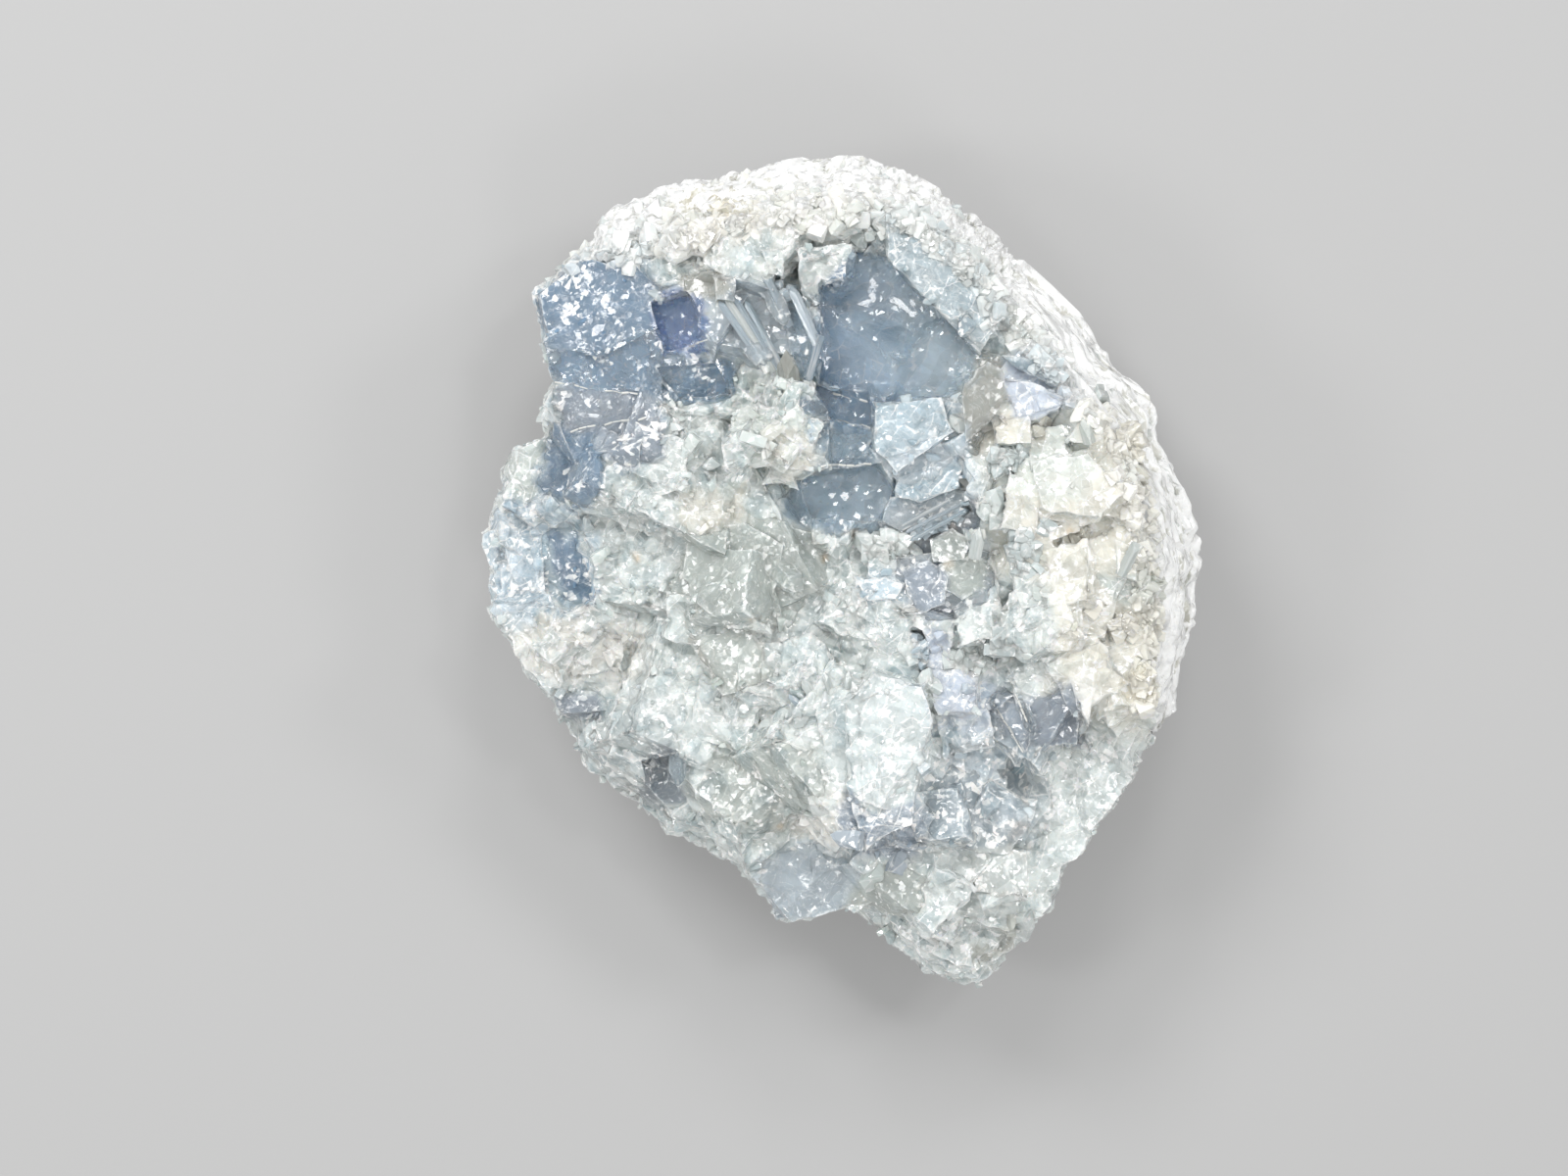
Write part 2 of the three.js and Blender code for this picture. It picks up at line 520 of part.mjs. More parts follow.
// Flat floors sunk into the front: cleavage panes, windows and gaps between crystals
const SUNK_FACES = [
  { name: 'right pane', pixels: [[872, 254], [905, 272], [960, 328], [994, 362], [985, 385], [964, 402],
    [931, 402], [912, 356], [869, 308]], height: 36.6, slope: [0.08, 0.06] },
  { name: 'left pane', pixels: [[840, 292], [869, 308], [912, 356], [931, 402], [888, 404], [838, 392]],
    height: 35.5, slope: [0.2, 0.16] },
  { name: 'strip under the panes', pixels: [[834, 396], [886, 402], [888, 436], [846, 428]], height: 34,
    slope: [0, 0.1] },
  { name: 'lower pane', pixels: [[814, 488], [861, 480], [894, 476], [912, 500], [894, 532], [828, 528]],
    height: 34.6, slope: [0.1, -0.2] },
  { name: 'deep window', pixels: [[667, 312], [702, 303], [713, 324], [708, 354], [680, 358]], height: 33.4,
    slope: [0.15, 0.1] },
  { name: 'glossy corner', pixels: [[671, 376], [730, 372], [744, 402], [694, 405]], height: 33.4,
    slope: [-0.1, 0.4] },
  { name: 'small hole', pixels: [[879, 236], [892, 237], [891, 247], [880, 246]], height: 34 },
  { name: 'long groove', pixels: [[921, 543], [984, 513], [989, 522], [934, 553]], height: 35.6 },
  { name: 'brown groove', pixels: [[1074, 552], [1132, 531], [1136, 538], [1078, 558]], height: 38.5 },
  { name: 'left pocket', pixels: [[554, 548], [576, 534], [606, 560], [606, 608], [582, 620], [556, 602]],
    height: 28, slope: [0.1, 0.1] },
  { name: 'lower left gap', pixels: [[657, 776], [689, 770], [690, 816], [662, 812]], height: 27.5 },
  { name: 'gap beside the lobe', pixels: [[930, 644], [940, 645], [956, 730], [949, 732]], height: 35 },
  { name: 'slate shard', pixels: [[1016, 726], [1032, 711], [1049, 750], [1046, 765]], height: 35.2,
    slope: [0.2, -0.1] },
];

// Patches of small upright crystals: middle and half-widths in pixels, count and size in millimetres
const DRUSE = [
  { column: 740, row: 222, across: 95, down: 34, count: 5, size: 6, lean: 0.6 },
  { column: 890, row: 205, across: 56, down: 20, count: 2, size: 5.6, lean: 0.6 },
  { column: 740, row: 246, across: 30, down: 12, count: 1, size: 4.6, lean: 0.5 },
  { column: 690, row: 480, across: 62, down: 52, count: 4, size: 6, lean: 0.7 },
  { column: 795, row: 428, across: 32, down: 38, count: 4, size: 5.6, lean: 0.8 },
  { column: 560, row: 530, across: 40, down: 28, count: 1, size: 5, lean: 0.7 },
  { column: 590, row: 645, across: 46, down: 24, count: 2, size: 5, lean: 0.7 },
  { column: 750, row: 590, across: 66, down: 48, count: 3, size: 7, lean: 0.7 },
  { column: 870, row: 610, across: 44, down: 54, count: 3, size: 5.6, lean: 0.7 },
  { column: 780, row: 705, across: 72, down: 50, count: 4, size: 6.2, lean: 0.8 },
  { column: 895, row: 775, across: 36, down: 72, count: 2, size: 5.2, lean: 0.7 },
  { column: 1040, row: 480, across: 46, down: 36, count: 2, size: 5.8, lean: 0.6 },
  { column: 1110, row: 560, across: 66, down: 80, count: 5, size: 6.4, lean: 0.6 },
  { column: 1030, row: 660, across: 42, down: 38, count: 2, size: 5.8, lean: 0.7 },
  { column: 1120, row: 720, across: 50, down: 50, count: 3, size: 5.8, lean: 0.7 },
  { column: 1000, row: 810, across: 50, down: 50, count: 2, size: 5.2, lean: 0.9 },
  { column: 650, row: 770, across: 42, down: 42, count: 2, size: 5.4, lean: 0.9 },
  { column: 980, row: 920, across: 48, down: 40, count: 3, size: 5.6, lean: 0.8 },
];

// Blocks scattered over a patch, standing a little out of the front
function drusePatch({ column, row, across, down, count, size, lean }, random) {
  return Array.from({ length: count }, () => {
    const angle = random() * Math.PI * 2;
    const spread = Math.sqrt(random());
    const pixel = [column + Math.cos(angle) * across * spread, row + Math.sin(angle) * down * spread];
    const guess = sight(...pixel, FRONT_HEIGHT);
    const top = sight(...pixel, crustHeight(guess.x, guess.y) + size * (0.1 + random() * 0.3));
    return block(top, leaning(lean, random), random() * Math.PI, size * (0.7 + random() * 0.6), random);
  });
}

// Broad blocks under the whole front, in uneven rows
function crustBlocks(random) {
  const blocks = [];
  for (let row = -4; row <= 4; row += 1) {
    for (let column = -4; column <= 4; column += 1) {
      const x = (column + (row % 2) * 0.5 + (random() - 0.5) * 0.5) * CRUST_BLOCK.spacing;
      const y = (row * 0.95 + (random() - 0.5) * 0.5) * CRUST_BLOCK.spacing;
      const angle = Math.atan2(y, x);
      if (Math.hypot(x, y) > reach(angle) - bandWidth(angle) - 2) continue;
      const top = new THREE.Vector3(x, y, crustHeight(x, y) - CRUST_BLOCK.sunk);
      const direction = leaning(CRUST_BLOCK.lean, random);
      blocks.push(block(top, direction, random() * Math.PI, CRUST_BLOCK.size, random));
    }
  }
  return blocks;
}

// Crystal ends that show round the broken edges, between the wall and the front
function brokenEdge(random) {
  const count = 26;
  const crystals = [];
  for (let index = 0; index < count; index += 1) {
    const angle = ((index + random() * 0.6) / count) * Math.PI * 2;
    if (wallShare(angle) > 0.4) continue;
    const size = 5 + random() * 4;
    const height = WALL_UNDER_CRYSTALS + 4 + random() * 12;
    const outward = new THREE.Vector3(Math.cos(angle), Math.sin(angle), random() * 0.6 - 0.1).normalize();
    const inset = 0.3 + Math.abs(height - OUTLINE_HEIGHT) * 0.12 + random();
    const top = new THREE.Vector3(Math.cos(angle), Math.sin(angle), 0).multiplyScalar(reach(angle) - inset);
    top.z = height;
    crystals.push(block(top, outward, random() * Math.PI, size, random));
  }
  return crystals;
}

// The geode's wall, from the ridged rim round to the flat base
function rindGeometry(fragment) {
  return faceted(fragment.intersect(belowSeat(0)));
}

// All crystals, joined into one body on the wall
function crystalGeometry(fragment) {
  const random = randomSource(37);
  const raised = [
    ...Object.values(FLAT_CRYSTALS).flat().map(facePrism),
    ...BLADES.map(blade),
    ...crustBlocks(random),
    ...DRUSE.flatMap((patch) => drusePatch(patch, random)),
    ...brokenEdge(random),
  ];
  const grown = raised.reduce((body, crystal) => body.add(crystal), fragment);
  const sunk = SUNK_FACES.map(({ pixels, height, slope }) => facePrism({
    pixels, height, slope, depth: -40, flare: 1.5,
  }));
  const opened = sunk.reduce((body, face) => body.subtract(face), grown);
  return faceted(opened.intersect(outlineSpace()).subtract(belowSeat(SEAM)));
}

function mineral(color, roughness) {
  return new THREE.MeshStandardMaterial({ color, roughness, metalness: 0 });
}

const fragment = fragmentBody();
const rind = new THREE.Mesh(rindGeometry(fragment), mineral(0xdedbd0, 0.85));
rind.name = 'rind';
const crystalMass = new THREE.Mesh(crystalGeometry(fragment), mineral(0xb4c6d0, 0.3));
crystalMass.name = 'crystal_mass';

// The origin is below the middle of the whole cluster, on its base
const cluster = new THREE.Group();
cluster.add(rind, crystalMass);
const extent = new THREE.Box3().setFromObject(cluster);
const middle = extent.getCenter(new THREE.Vector3());
cluster.position.set(-middle.x, -middle.y, -extent.min.z);

export default cluster;
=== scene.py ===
import itertools
import math
import random

import bmesh
import bpy
import numpy as np
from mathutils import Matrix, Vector
from mathutils.bvhtree import BVHTree


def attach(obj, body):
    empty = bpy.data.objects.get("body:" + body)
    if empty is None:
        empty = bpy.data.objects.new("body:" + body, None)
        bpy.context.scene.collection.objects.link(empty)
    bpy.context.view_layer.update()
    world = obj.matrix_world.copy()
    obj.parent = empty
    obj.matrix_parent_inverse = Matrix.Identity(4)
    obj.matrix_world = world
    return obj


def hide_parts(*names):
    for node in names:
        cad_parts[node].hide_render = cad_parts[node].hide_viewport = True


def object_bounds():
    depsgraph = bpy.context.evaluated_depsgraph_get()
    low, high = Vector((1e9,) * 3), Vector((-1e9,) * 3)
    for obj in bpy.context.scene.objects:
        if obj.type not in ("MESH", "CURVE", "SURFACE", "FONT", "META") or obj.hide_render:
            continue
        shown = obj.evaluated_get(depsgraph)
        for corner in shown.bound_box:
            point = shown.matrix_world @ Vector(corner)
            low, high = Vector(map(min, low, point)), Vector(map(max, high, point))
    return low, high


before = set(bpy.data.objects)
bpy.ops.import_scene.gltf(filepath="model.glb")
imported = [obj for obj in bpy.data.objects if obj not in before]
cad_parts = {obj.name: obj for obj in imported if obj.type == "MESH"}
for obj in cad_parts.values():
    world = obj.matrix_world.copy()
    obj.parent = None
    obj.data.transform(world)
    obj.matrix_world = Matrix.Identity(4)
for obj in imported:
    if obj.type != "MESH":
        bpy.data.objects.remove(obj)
cad_box = [list(corner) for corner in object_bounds()]
MM = 0.001

# How the photograph is read: how many millimetres a pixel spans at the height of the stone's outline, that
# height, the photograph's width and centre in pixels, how far above the outline the eye is, and where it
# is across and along the part, in millimetres
PIXEL = 0.12
OUTLINE_HEIGHT = 19.0
PHOTO_WIDTH = 1600
PICTURE_CENTRE = (800.0, 600.0)
EYE_DISTANCE = 480.0
EYE = (-7.02, -1.92)
EYE_PLACE = Vector((*EYE, OUTLINE_HEIGHT + EYE_DISTANCE)) * MM

# The height of the wall under the crystals, in millimetres: below it they don't show
SEAT_TOP = 10.5

# The height in millimetres from which the zones below count, and the one above which hollows are filled
FRONT_FOOT = 16
FILLED_FROM = 24

# How far within the CAD model's box everything stays, in metres
INSET = 5e-5

# How strongly celestite bends light, and the most light that a colour sends back
CELESTITE_IOR = 1.62
LIGHTEST = 0.95

# Colours as the photograph shows them, in 8-bit sRGB
PALETTE = {
    "white": (230, 230, 224),
    "cream": (215, 213, 202),
    "sand": (207, 200, 180),
    "mint": (207, 214, 209),
    "frost": (205, 212, 210),
    "ice": (188, 202, 211),
    "mist": (178, 190, 197),
    "sage": (184, 192, 187),
    "smoke": (176, 178, 170),
    "lilac": (192, 201, 213),
    "sky": (146, 170, 186),
    "blue": (118, 147, 172),
    "pool": (114, 141, 167),
    "veil": (160, 178, 187),
    "haze": (174, 191, 200),
    "fog": (160, 174, 180),
    "deep": (126, 158, 222),
    "pearl": (196, 205, 205),
    "rust": (206, 172, 122),
    "slate": (148, 160, 172),
    "dusk": (134, 147, 156),
}
BRIGHT = (0.92, 0.93, 0.92, 1)
WHITE = (1, 1, 1, 1)

# The picture's gamma, which keeps the gaps between crystals as light as the photograph does
GAMMA = 1.2

# Zones of the front: name, column, row, half widths across and down, turn in degrees, tint,
# how sugary the crust is and how clear the crystal is, from 0 to 1
ZONES = [
    ("top crust", 760, 212, 140, 40, 5, "white", 1.0, 0.0),
    ("stain in the top crust", 728, 206, 42, 18, 5, "sand", 1.0, 0.0),
    ("top left shoulder", 640, 236, 36, 26, 30, "mist", 0.7, 0.1),
    ("upper left block", 596, 312, 56, 46, 20, "blue", 0.45, 0.5),
    ("smooth side of the block", 628, 370, 44, 30, 0, "blue", 0.06, 0.8),
    ("deep window", 690, 332, 24, 26, 0, "deep", 0.0, 0.9),
    ("glossy corner", 706, 390, 38, 15, 0, "blue", 0.1, 0.9),
    ("grey steps", 712, 290, 18, 13, 0, "smoke", 0.1, 0.5),
    ("blades", 772, 332, 42, 44, 0, "ice", 0.05, 0.7),
    ("hanging knob", 844, 276, 32, 32, 0, "frost", 0.9, 0.2),
    ("blue panes", 905, 342, 76, 66, -20, "sky", 0.02, 0.8),
    ("strip under the panes", 862, 412, 30, 16, 0, "blue", 0.0, 0.9),
    ("cloudy crust", 966, 268, 74, 44, -50, "fog", 0.5, 0.3),
    ("slate facet", 618, 414, 46, 18, 0, "slate", 0.08, 0.6),
    ("blue facet", 584, 474, 28, 34, 0, "blue", 0.12, 0.6),
    ("crinkled facet", 648, 452, 28, 26, 0, "slate", 0.3, 0.5),
    ("far left block", 538, 480, 24, 24, 0, "sage", 0.3, 0.3),
    ("middle crust", 696, 486, 66, 58, 0, "frost", 0.95, 0.1),
    ("cream in the middle crust", 720, 520, 36, 26, 0, "cream", 0.9, 0.1),
    ("white knob", 795, 428, 48, 56, 0, "mint", 1.0, 0.2),
    ("cream in the knob", 806, 462, 28, 20, 0, "cream", 1.0, 0.1),
    ("striated facet", 866, 456, 30, 20, 0, "sky", 0.0, 0.7),
    ("lower pane", 866, 508, 50, 28, 0, "sky", 0.04, 0.7),
    ("pale block", 932, 440, 44, 38, 0, "ice", 0.08, 0.4),
    ("second pale block", 950, 488, 36, 24, 15, "ice", 0.08, 0.4),
    ("grey crystal", 1008, 408, 26, 42, 0, "smoke", 0.0, 0.8),
    ("lilac facets", 1056, 392, 40, 30, -15, "lilac", 0.1, 0.4),
    ("beige lump", 1040, 440, 30, 20, 0, "cream", 0.5, 0.2),
    ("right mass", 1108, 512, 88, 84, 0, "cream", 0.4, 0.34),
    ("pale right mass", 1070, 470, 44, 40, 0, "mint", 0.4, 0.34),
    ("right shoulder", 1140, 650, 72, 84, 0, "cream", 0.45, 0.32),
    ("stain on the shoulder", 1176, 694, 22, 20, 0, "sand", 0.9, 0.0),
    ("long groove", 952, 532, 36, 14, 25, "slate", 0.0, 0.7),
    ("grey windows", 976, 586, 36, 30, 0, "mist", 0.06, 0.7),
    ("striated slate block", 945, 598, 25, 24, 0, "slate", 0.0, 0.6),
    ("pale ledge", 898, 600, 24, 14, 0, "haze", 0.4, 0.3),
    ("heart", 760, 586, 74, 56, 0, "sage", 0.35, 0.6),
    ("left pocket", 580, 578, 26, 40, 0, "haze", 0.5, 0.45),
    ("left rim", 526, 560, 34, 66, 0, "ice", 0.7, 0.3),
    ("lower left knob", 590, 660, 56, 34, 0, "white", 0.95, 0.1),
    ("slanting crust", 656, 570, 38, 66, 0, "frost", 0.9, 0.15),
    ("lower heart", 776, 694, 84, 58, 0, "frost", 0.85, 0.35),
    ("crust beside the lobe", 880, 640, 46, 42, 0, "frost", 0.85, 0.3),
    ("lobe", 905, 760, 46, 80, 0, "pearl", 0.55, 0.35),
    ("foot of the lobe", 898, 836, 44, 34, 0, "slate", 0.5, 0.4),
    ("lilac facet", 975, 706, 34, 28, 0, "lilac", 0.5, 0.3),
    ("slate hollow", 1002, 802, 66, 62, 0, "mist", 0.5, 0.5),
    ("dark shard", 1032, 738, 18, 28, 30, "dusk", 0.0, 0.7),
    ("grey facet", 1078, 735, 32, 30, 0, "slate", 0.06, 0.5),
    ("arrow crystal", 1104, 716, 16, 28, 0, "white", 0.2, 0.3),
    ("middle right crust", 1030, 650, 52, 46, 0, "frost", 0.8, 0.2),
    ("lower right", 1106, 806, 52, 62, -30, "frost", 0.6, 0.3),
    ("lower left", 640, 768, 80, 48, -35, "pearl", 0.55, 0.45),
    ("dark facet", 673, 795, 18, 24, 0, "dusk", 0.0, 0.7),
    ("lower middle", 770, 800, 60, 46, 0, "sage", 0.5, 0.48),
    ("spur", 824, 906, 46, 30, 8, "mist", 0.03, 0.5),
    ("olive facets", 908, 914, 36, 18, 0, "sage", 0.25, 0.5),
    ("bottom block", 1020, 890, 36, 30, 0, "frost", 0.3, 0.4),
    ("bottom tip", 972, 962, 44, 36, 0, "frost", 0.6, 0.3),
    ("brown lump", 1014, 968, 20, 16, 0, "smoke", 0.6, 0.2),
    ("druse column", 845, 836, 22, 24, 0, "white", 1.0, 0.2),
]

# The sides and everything out of the photograph's sight: tint, sugar and clearness
SIDE_ZONE = ("frost", 0.6, 0.3)

# Single faces: name, corners in the photograph's pixels, tint, how sugary and how clear
FACES = [
    ("upper left block", [(546, 300), (588, 262), (656, 270), (668, 300), (668, 332), (608, 362), (558, 350)],
     "blue", 0.3, 0.62),
    ("its smooth side", [(556, 352), (604, 362), (668, 332), (668, 400), (606, 400), (560, 386)],
     "blue", 0.03, 0.75),
    ("ledge below it", [(564, 392), (664, 404), (662, 430), (578, 440)], "slate", 0.05, 0.7),
    ("blue facet", [(560, 444), (607, 440), (602, 506), (562, 500)], "blue", 0.05, 0.7),
    ("crinkled facet", [(620, 434), (672, 426), (678, 464), (632, 480)], "slate", 0.25, 0.55),
    ("deep window", [(666, 311), (703, 302), (716, 326), (712, 352), (679, 359)], "deep", 0.0, 0.9),
    ("glossy corner", [(671, 374), (735, 370), (746, 404), (694, 407)], "blue", 0.02, 0.9),
    ("grey steps", [(690, 280), (724, 274), (727, 303), (700, 304)], "smoke", 0.0, 0.6),
    ("blades", [(740, 300), (776, 292), (800, 340), (790, 372), (752, 366)], "ice", 0.0, 0.7),
    ("curved crystal", [(803, 292), (822, 304), (836, 340), (836, 372), (818, 392), (806, 362)],
     "sky", 0.0, 0.75),
    ("right pane", [(872, 252), (905, 270), (960, 326), (996, 362), (986, 388), (964, 404), (931, 404),
                    (912, 356), (869, 308)], "sky", 0.0, 0.9),
    ("left pane", [(838, 290), (872, 306), (914, 356), (933, 404), (888, 408), (836, 394)], "blue", 0.0, 0.9),
    ("strip under the panes", [(832, 396), (888, 404), (890, 436), (844, 430)], "blue", 0.0, 0.85),
    ("cloudy crust", [(905, 202), (958, 226), (1008, 282), (1018, 340), (1000, 360), (958, 322), (905, 264)],
     "fog", 0.4, 0.42),
    ("striated facet", [(838, 438), (889, 440), (891, 474), (852, 476)], "sky", 0.0, 0.75),
    ("lower pane", [(814, 488), (861, 480), (894, 476), (914, 500), (894, 534), (828, 530)],
     "sky", 0.0, 0.85),
    ("pale block", [(889, 409), (960, 405), (977, 440), (915, 484), (890, 461)], "veil", 0.35, 0.42),
    ("second pale block", [(914, 486), (983, 460), (983, 500), (940, 516), (912, 508)], "veil", 0.45, 0.42),
    ("grey crystal", [(986, 380), (1008, 366), (1025, 376), (1035, 410), (1003, 433), (984, 454), (979, 403)],
     "smoke", 0.02, 0.65),
    ("upper lilac facet", [(1020, 361), (1078, 367), (1078, 394), (1039, 378)], "haze", 0.0, 0.6),
    ("lilac block", [(1024, 381), (1102, 409), (1052, 432), (1034, 424)], "lilac", 0.35, 0.4),
    ("between the pale blocks", [(900, 472), (985, 432), (990, 466), (918, 496)], "ice", 0.3, 0.5),
    ("below the pale blocks", [(904, 514), (944, 512), (986, 500), (990, 516), (926, 546), (900, 532)],
     "mist", 0.1, 0.6),
    ("green facets", [(947, 549), (972, 538), (990, 552), (984, 571), (952, 574)], "sage", 0.15, 0.55),
    ("grey window", [(957, 576), (984, 563), (1009, 572), (1005, 600), (982, 613), (961, 600)],
     "sage", 0.25, 0.5),
    ("striated slate block", [(920, 580), (948, 572), (968, 584), (964, 616), (940, 626), (926, 610)],
     "slate", 0.25, 0.5),
    ("pale ledge", [(876, 594), (904, 586), (922, 596), (916, 612), (884, 614)], "haze", 0.5, 0.3),
    ("heart", [(698, 545), (760, 530), (804, 556), (792, 608), (730, 618), (694, 592)], "sage", 0.3, 0.55),
    ("second heart", [(700, 650), (770, 640), (792, 690), (736, 714)], "sage", 0.3, 0.5),
    ("left pocket", [(558, 548), (568, 536), (576, 552), (588, 544), (592, 564), (604, 576), (600, 592),
                     (614, 602), (600, 620), (588, 606), (576, 610), (572, 590), (560, 584), (566, 566)],
     "blue", 0.35, 0.55),
    ("right facets", [(1119, 587), (1198, 588), (1192, 616), (1143, 618)], "sage", 0.1, 0.5),
    ("lobe", [(866, 720), (892, 690), (940, 702), (948, 735), (928, 820), (886, 830), (866, 800)],
     "pearl", 0.35, 0.4),
    ("lilac facet", [(932, 646), (956, 640), (990, 676), (1002, 724), (980, 736), (950, 706)],
     "lilac", 0.6, 0.25),
    ("grey facet", [(1052, 730), (1076, 702), (1104, 722), (1102, 762), (1060, 764)], "slate", 0.02, 0.65),
    ("dark shard", [(1014, 724), (1032, 709), (1051, 750), (1047, 767)], "slate", 0.0, 0.5),
    ("slate facet", [(563, 711), (612, 709), (613, 732), (574, 735)], "slate", 0.05, 0.6),
    ("dark facet", [(655, 772), (691, 766), (692, 818), (660, 814)], "dusk", 0.0, 0.65),
    ("spur", [(778, 900), (797, 868), (861, 879), (863, 926), (789, 941)], "mist", 0.02, 0.6),
    ("olive facets", [(876, 900), (939, 898), (941, 931), (895, 935)], "sage", 0.15, 0.55),
    ("bottom block", [(990, 863), (1051, 866), (1051, 915), (995, 912)], "frost", 0.1, 0.5),
]

# The two blue panes together, in the photograph's pixels
PANES = [(872, 252), (905, 270), (960, 326), (996, 362), (986, 388), (964, 404), (888, 408), (836, 394),
         (838, 292)]

# Where the panes are bluest, and in how many pixels to the right and up from there their blue pales
PANES_BLUEST = (845, 392)
PANES_PALING = (150, 600)

# Iron stains: small flecks at these pixels, and the large one on the wall's crust with its half widths
STAINS = [(649, 569), (874, 549), (841, 571), (767, 636), (967, 577), (971, 533), (796, 843), (1092, 541),
          (1176, 690)]
CRUST_STAIN = (728, 207, 44, 20)

# The seam between the crystals and the wall's rim: the pixel round which it runs, from how far out to
# how far in it is looked for, and from which angle to which
SEAM_CENTRE = (861.5, 580.5)
SEAM_REACH = (470, 260)
SEAM_ANGLES = (-24, 132)

# Bearings along the rim, in degrees from the photograph's right: between which the crust at the upper
# left sets in, the cream at the top comes and goes, and the beige-grey of the lower end sets in
CRUST_BEARINGS = (52, 78)
CREAM_BEARINGS = ((92, 100), (122, 112))
BEIGE_BEARINGS = (12, -4)

# The right mass, where the photograph's crystals close up: the pixels between which it sets in at its
# left edge, its top and its bottom
RIGHT_MASS = ((950, 1000), (385, 420), (830, 770))

# The columns between which the right side sets in, where fewer faces are dark and glassy
RIGHT_SIDE = (1030, 1080)

# Long crystals: the tip and the root in pixels with heights in millimetres, width and thickness in
# millimetres, the shape of the tip, tint and how milky the crystal is
LONG_CRYSTALS = [
    ((733, 306, 38.0), (784, 378, 38.2), 0.9, 0.9, "point", "ice", 0.55),
    ((740, 303, 37.9), (790, 380, 38.2), 1.0, 0.9, "point", "frost", 0.6),
    ((749, 303, 37.7), (793, 378, 38.1), 0.8, 0.8, "point", "ice", 0.5),
    ((760, 306, 37.4), (796, 372, 38.0), 0.8, 0.8, "point", "haze", 0.5),
    ((778, 276, 38.6), (805, 334, 38.0), 2.0, 1.3, "point", "ice", 0.45),
    ((806, 290, 38.7), (834, 352, 39.0), 1.2, 1.2, "point", "ice", 0.4),
    ((822, 394, 38.4), (837, 342, 39.0), 1.4, 1.2, "point", "sky", 0.4),
    ((802, 356, 40.6), (805, 392, 38.4), 3.2, 2.6, "point", "smoke", 0.4),
    ((691, 805, 34.4), (692, 766, 34.0), 2.4, 2.2, "point", "haze", 0.25),
    ((923, 544, 38.0), (984, 513, 38.6), 0.6, 0.5, "point", "mist", 0.5),
    ((928, 552, 37.7), (986, 521, 38.4), 0.7, 0.5, "point", "haze", 0.5),
    ((919, 537, 37.9), (968, 511, 38.5), 0.5, 0.5, "point", "mist", 0.5),
    ((1162, 554, 42.4), (1144, 588, 41.8), 2.0, 1.6, "chisel", "frost", 0.7),
    ((1104, 424, 43.8), (1112, 452, 43.2), 2.8, 1.6, "point", "mint", 0.7),
    ((1000, 538, 41.2), (994, 570, 40.4), 2.0, 1.6, "point", "frost", 0.6),
    ((818, 692, 40.4), (846, 738, 40.0), 1.3, 1.1, "point", "frost", 0.6),
    ((842, 686, 40.8), (852, 736, 40.4), 1.2, 1.0, "point", "frost", 0.5),
    ((866, 684, 41.4), (862, 734, 41.0), 1.3, 1.1, "point", "frost", 0.6),
    ((804, 708, 39.6), (842, 744, 39.6), 1.1, 0.9, "point", "ice", 0.5),
    ((798, 732, 39.0), (840, 756, 39.4), 1.1, 0.9, "point", "ice", 0.5),
]

# The ways in which the planes face that cut each shape of tip
TIPS = {
    "chisel": [(1, 0.1, 0.9), (-1, -0.1, 0.7)],
    "point": [(1, 0.2, 0.5), (-0.9, 0.1, 0.45), (0.1, 1, 0.5), (-0.2, -1, 0.6)],
}

# Hairlines: thin white lines across the faces, in pixels
HAIRLINES = [((845, 427), (888, 437)), ((566, 391), (660, 404)), ((582, 440), (660, 426)),
             ((1014, 718), (1044, 768)), ((1036, 708), (1055, 754)), ((850, 402), (886, 410)),
             ((696, 356), (722, 348)), ((838, 476), (890, 474))]

# Clusters of small crystals in the gaps: column, row, half widths across and down in pixels, how many
# are tried for, and tint
FILLINGS = [
    (986, 668, 20, 16, 100, "frost"), (940, 664, 9, 18, 60, "mist"), (948, 714, 7, 26, 70, "frost"),
    (990, 442, 12, 22, 60, "frost"), (1040, 440, 24, 16, 90, "cream"), (1096, 404, 30, 10, 70, "frost"),
    (1034, 338, 26, 12, 90, "frost"), (1064, 372, 26, 8, 60, "frost"), (1052, 560, 18, 60, 120, "pearl"),
    (1090, 548, 40, 10, 90, "cream"), (1080, 660, 34, 9, 100, "pearl"), (1018, 652, 14, 12, 60, "pearl"),
    (1130, 640, 30, 10, 90, "cream"), (1030, 470, 20, 16, 70, "pearl"), (1150, 576, 12, 50, 120, "cream"),
    (1160, 700, 10, 24, 60, "cream"), (905, 560, 30, 12, 70, "frost"), (880, 244, 16, 10, 40, "frost"),
    (952, 532, 34, 12, 90, "mist"), (792, 300, 16, 14, 40, "mist"), (1010, 520, 16, 14, 50, "frost"),
    (925, 232, 14, 14, 40, "frost"), (1000, 640, 16, 10, 50, "frost"), (1150, 470, 14, 30, 70, "cream"),
]

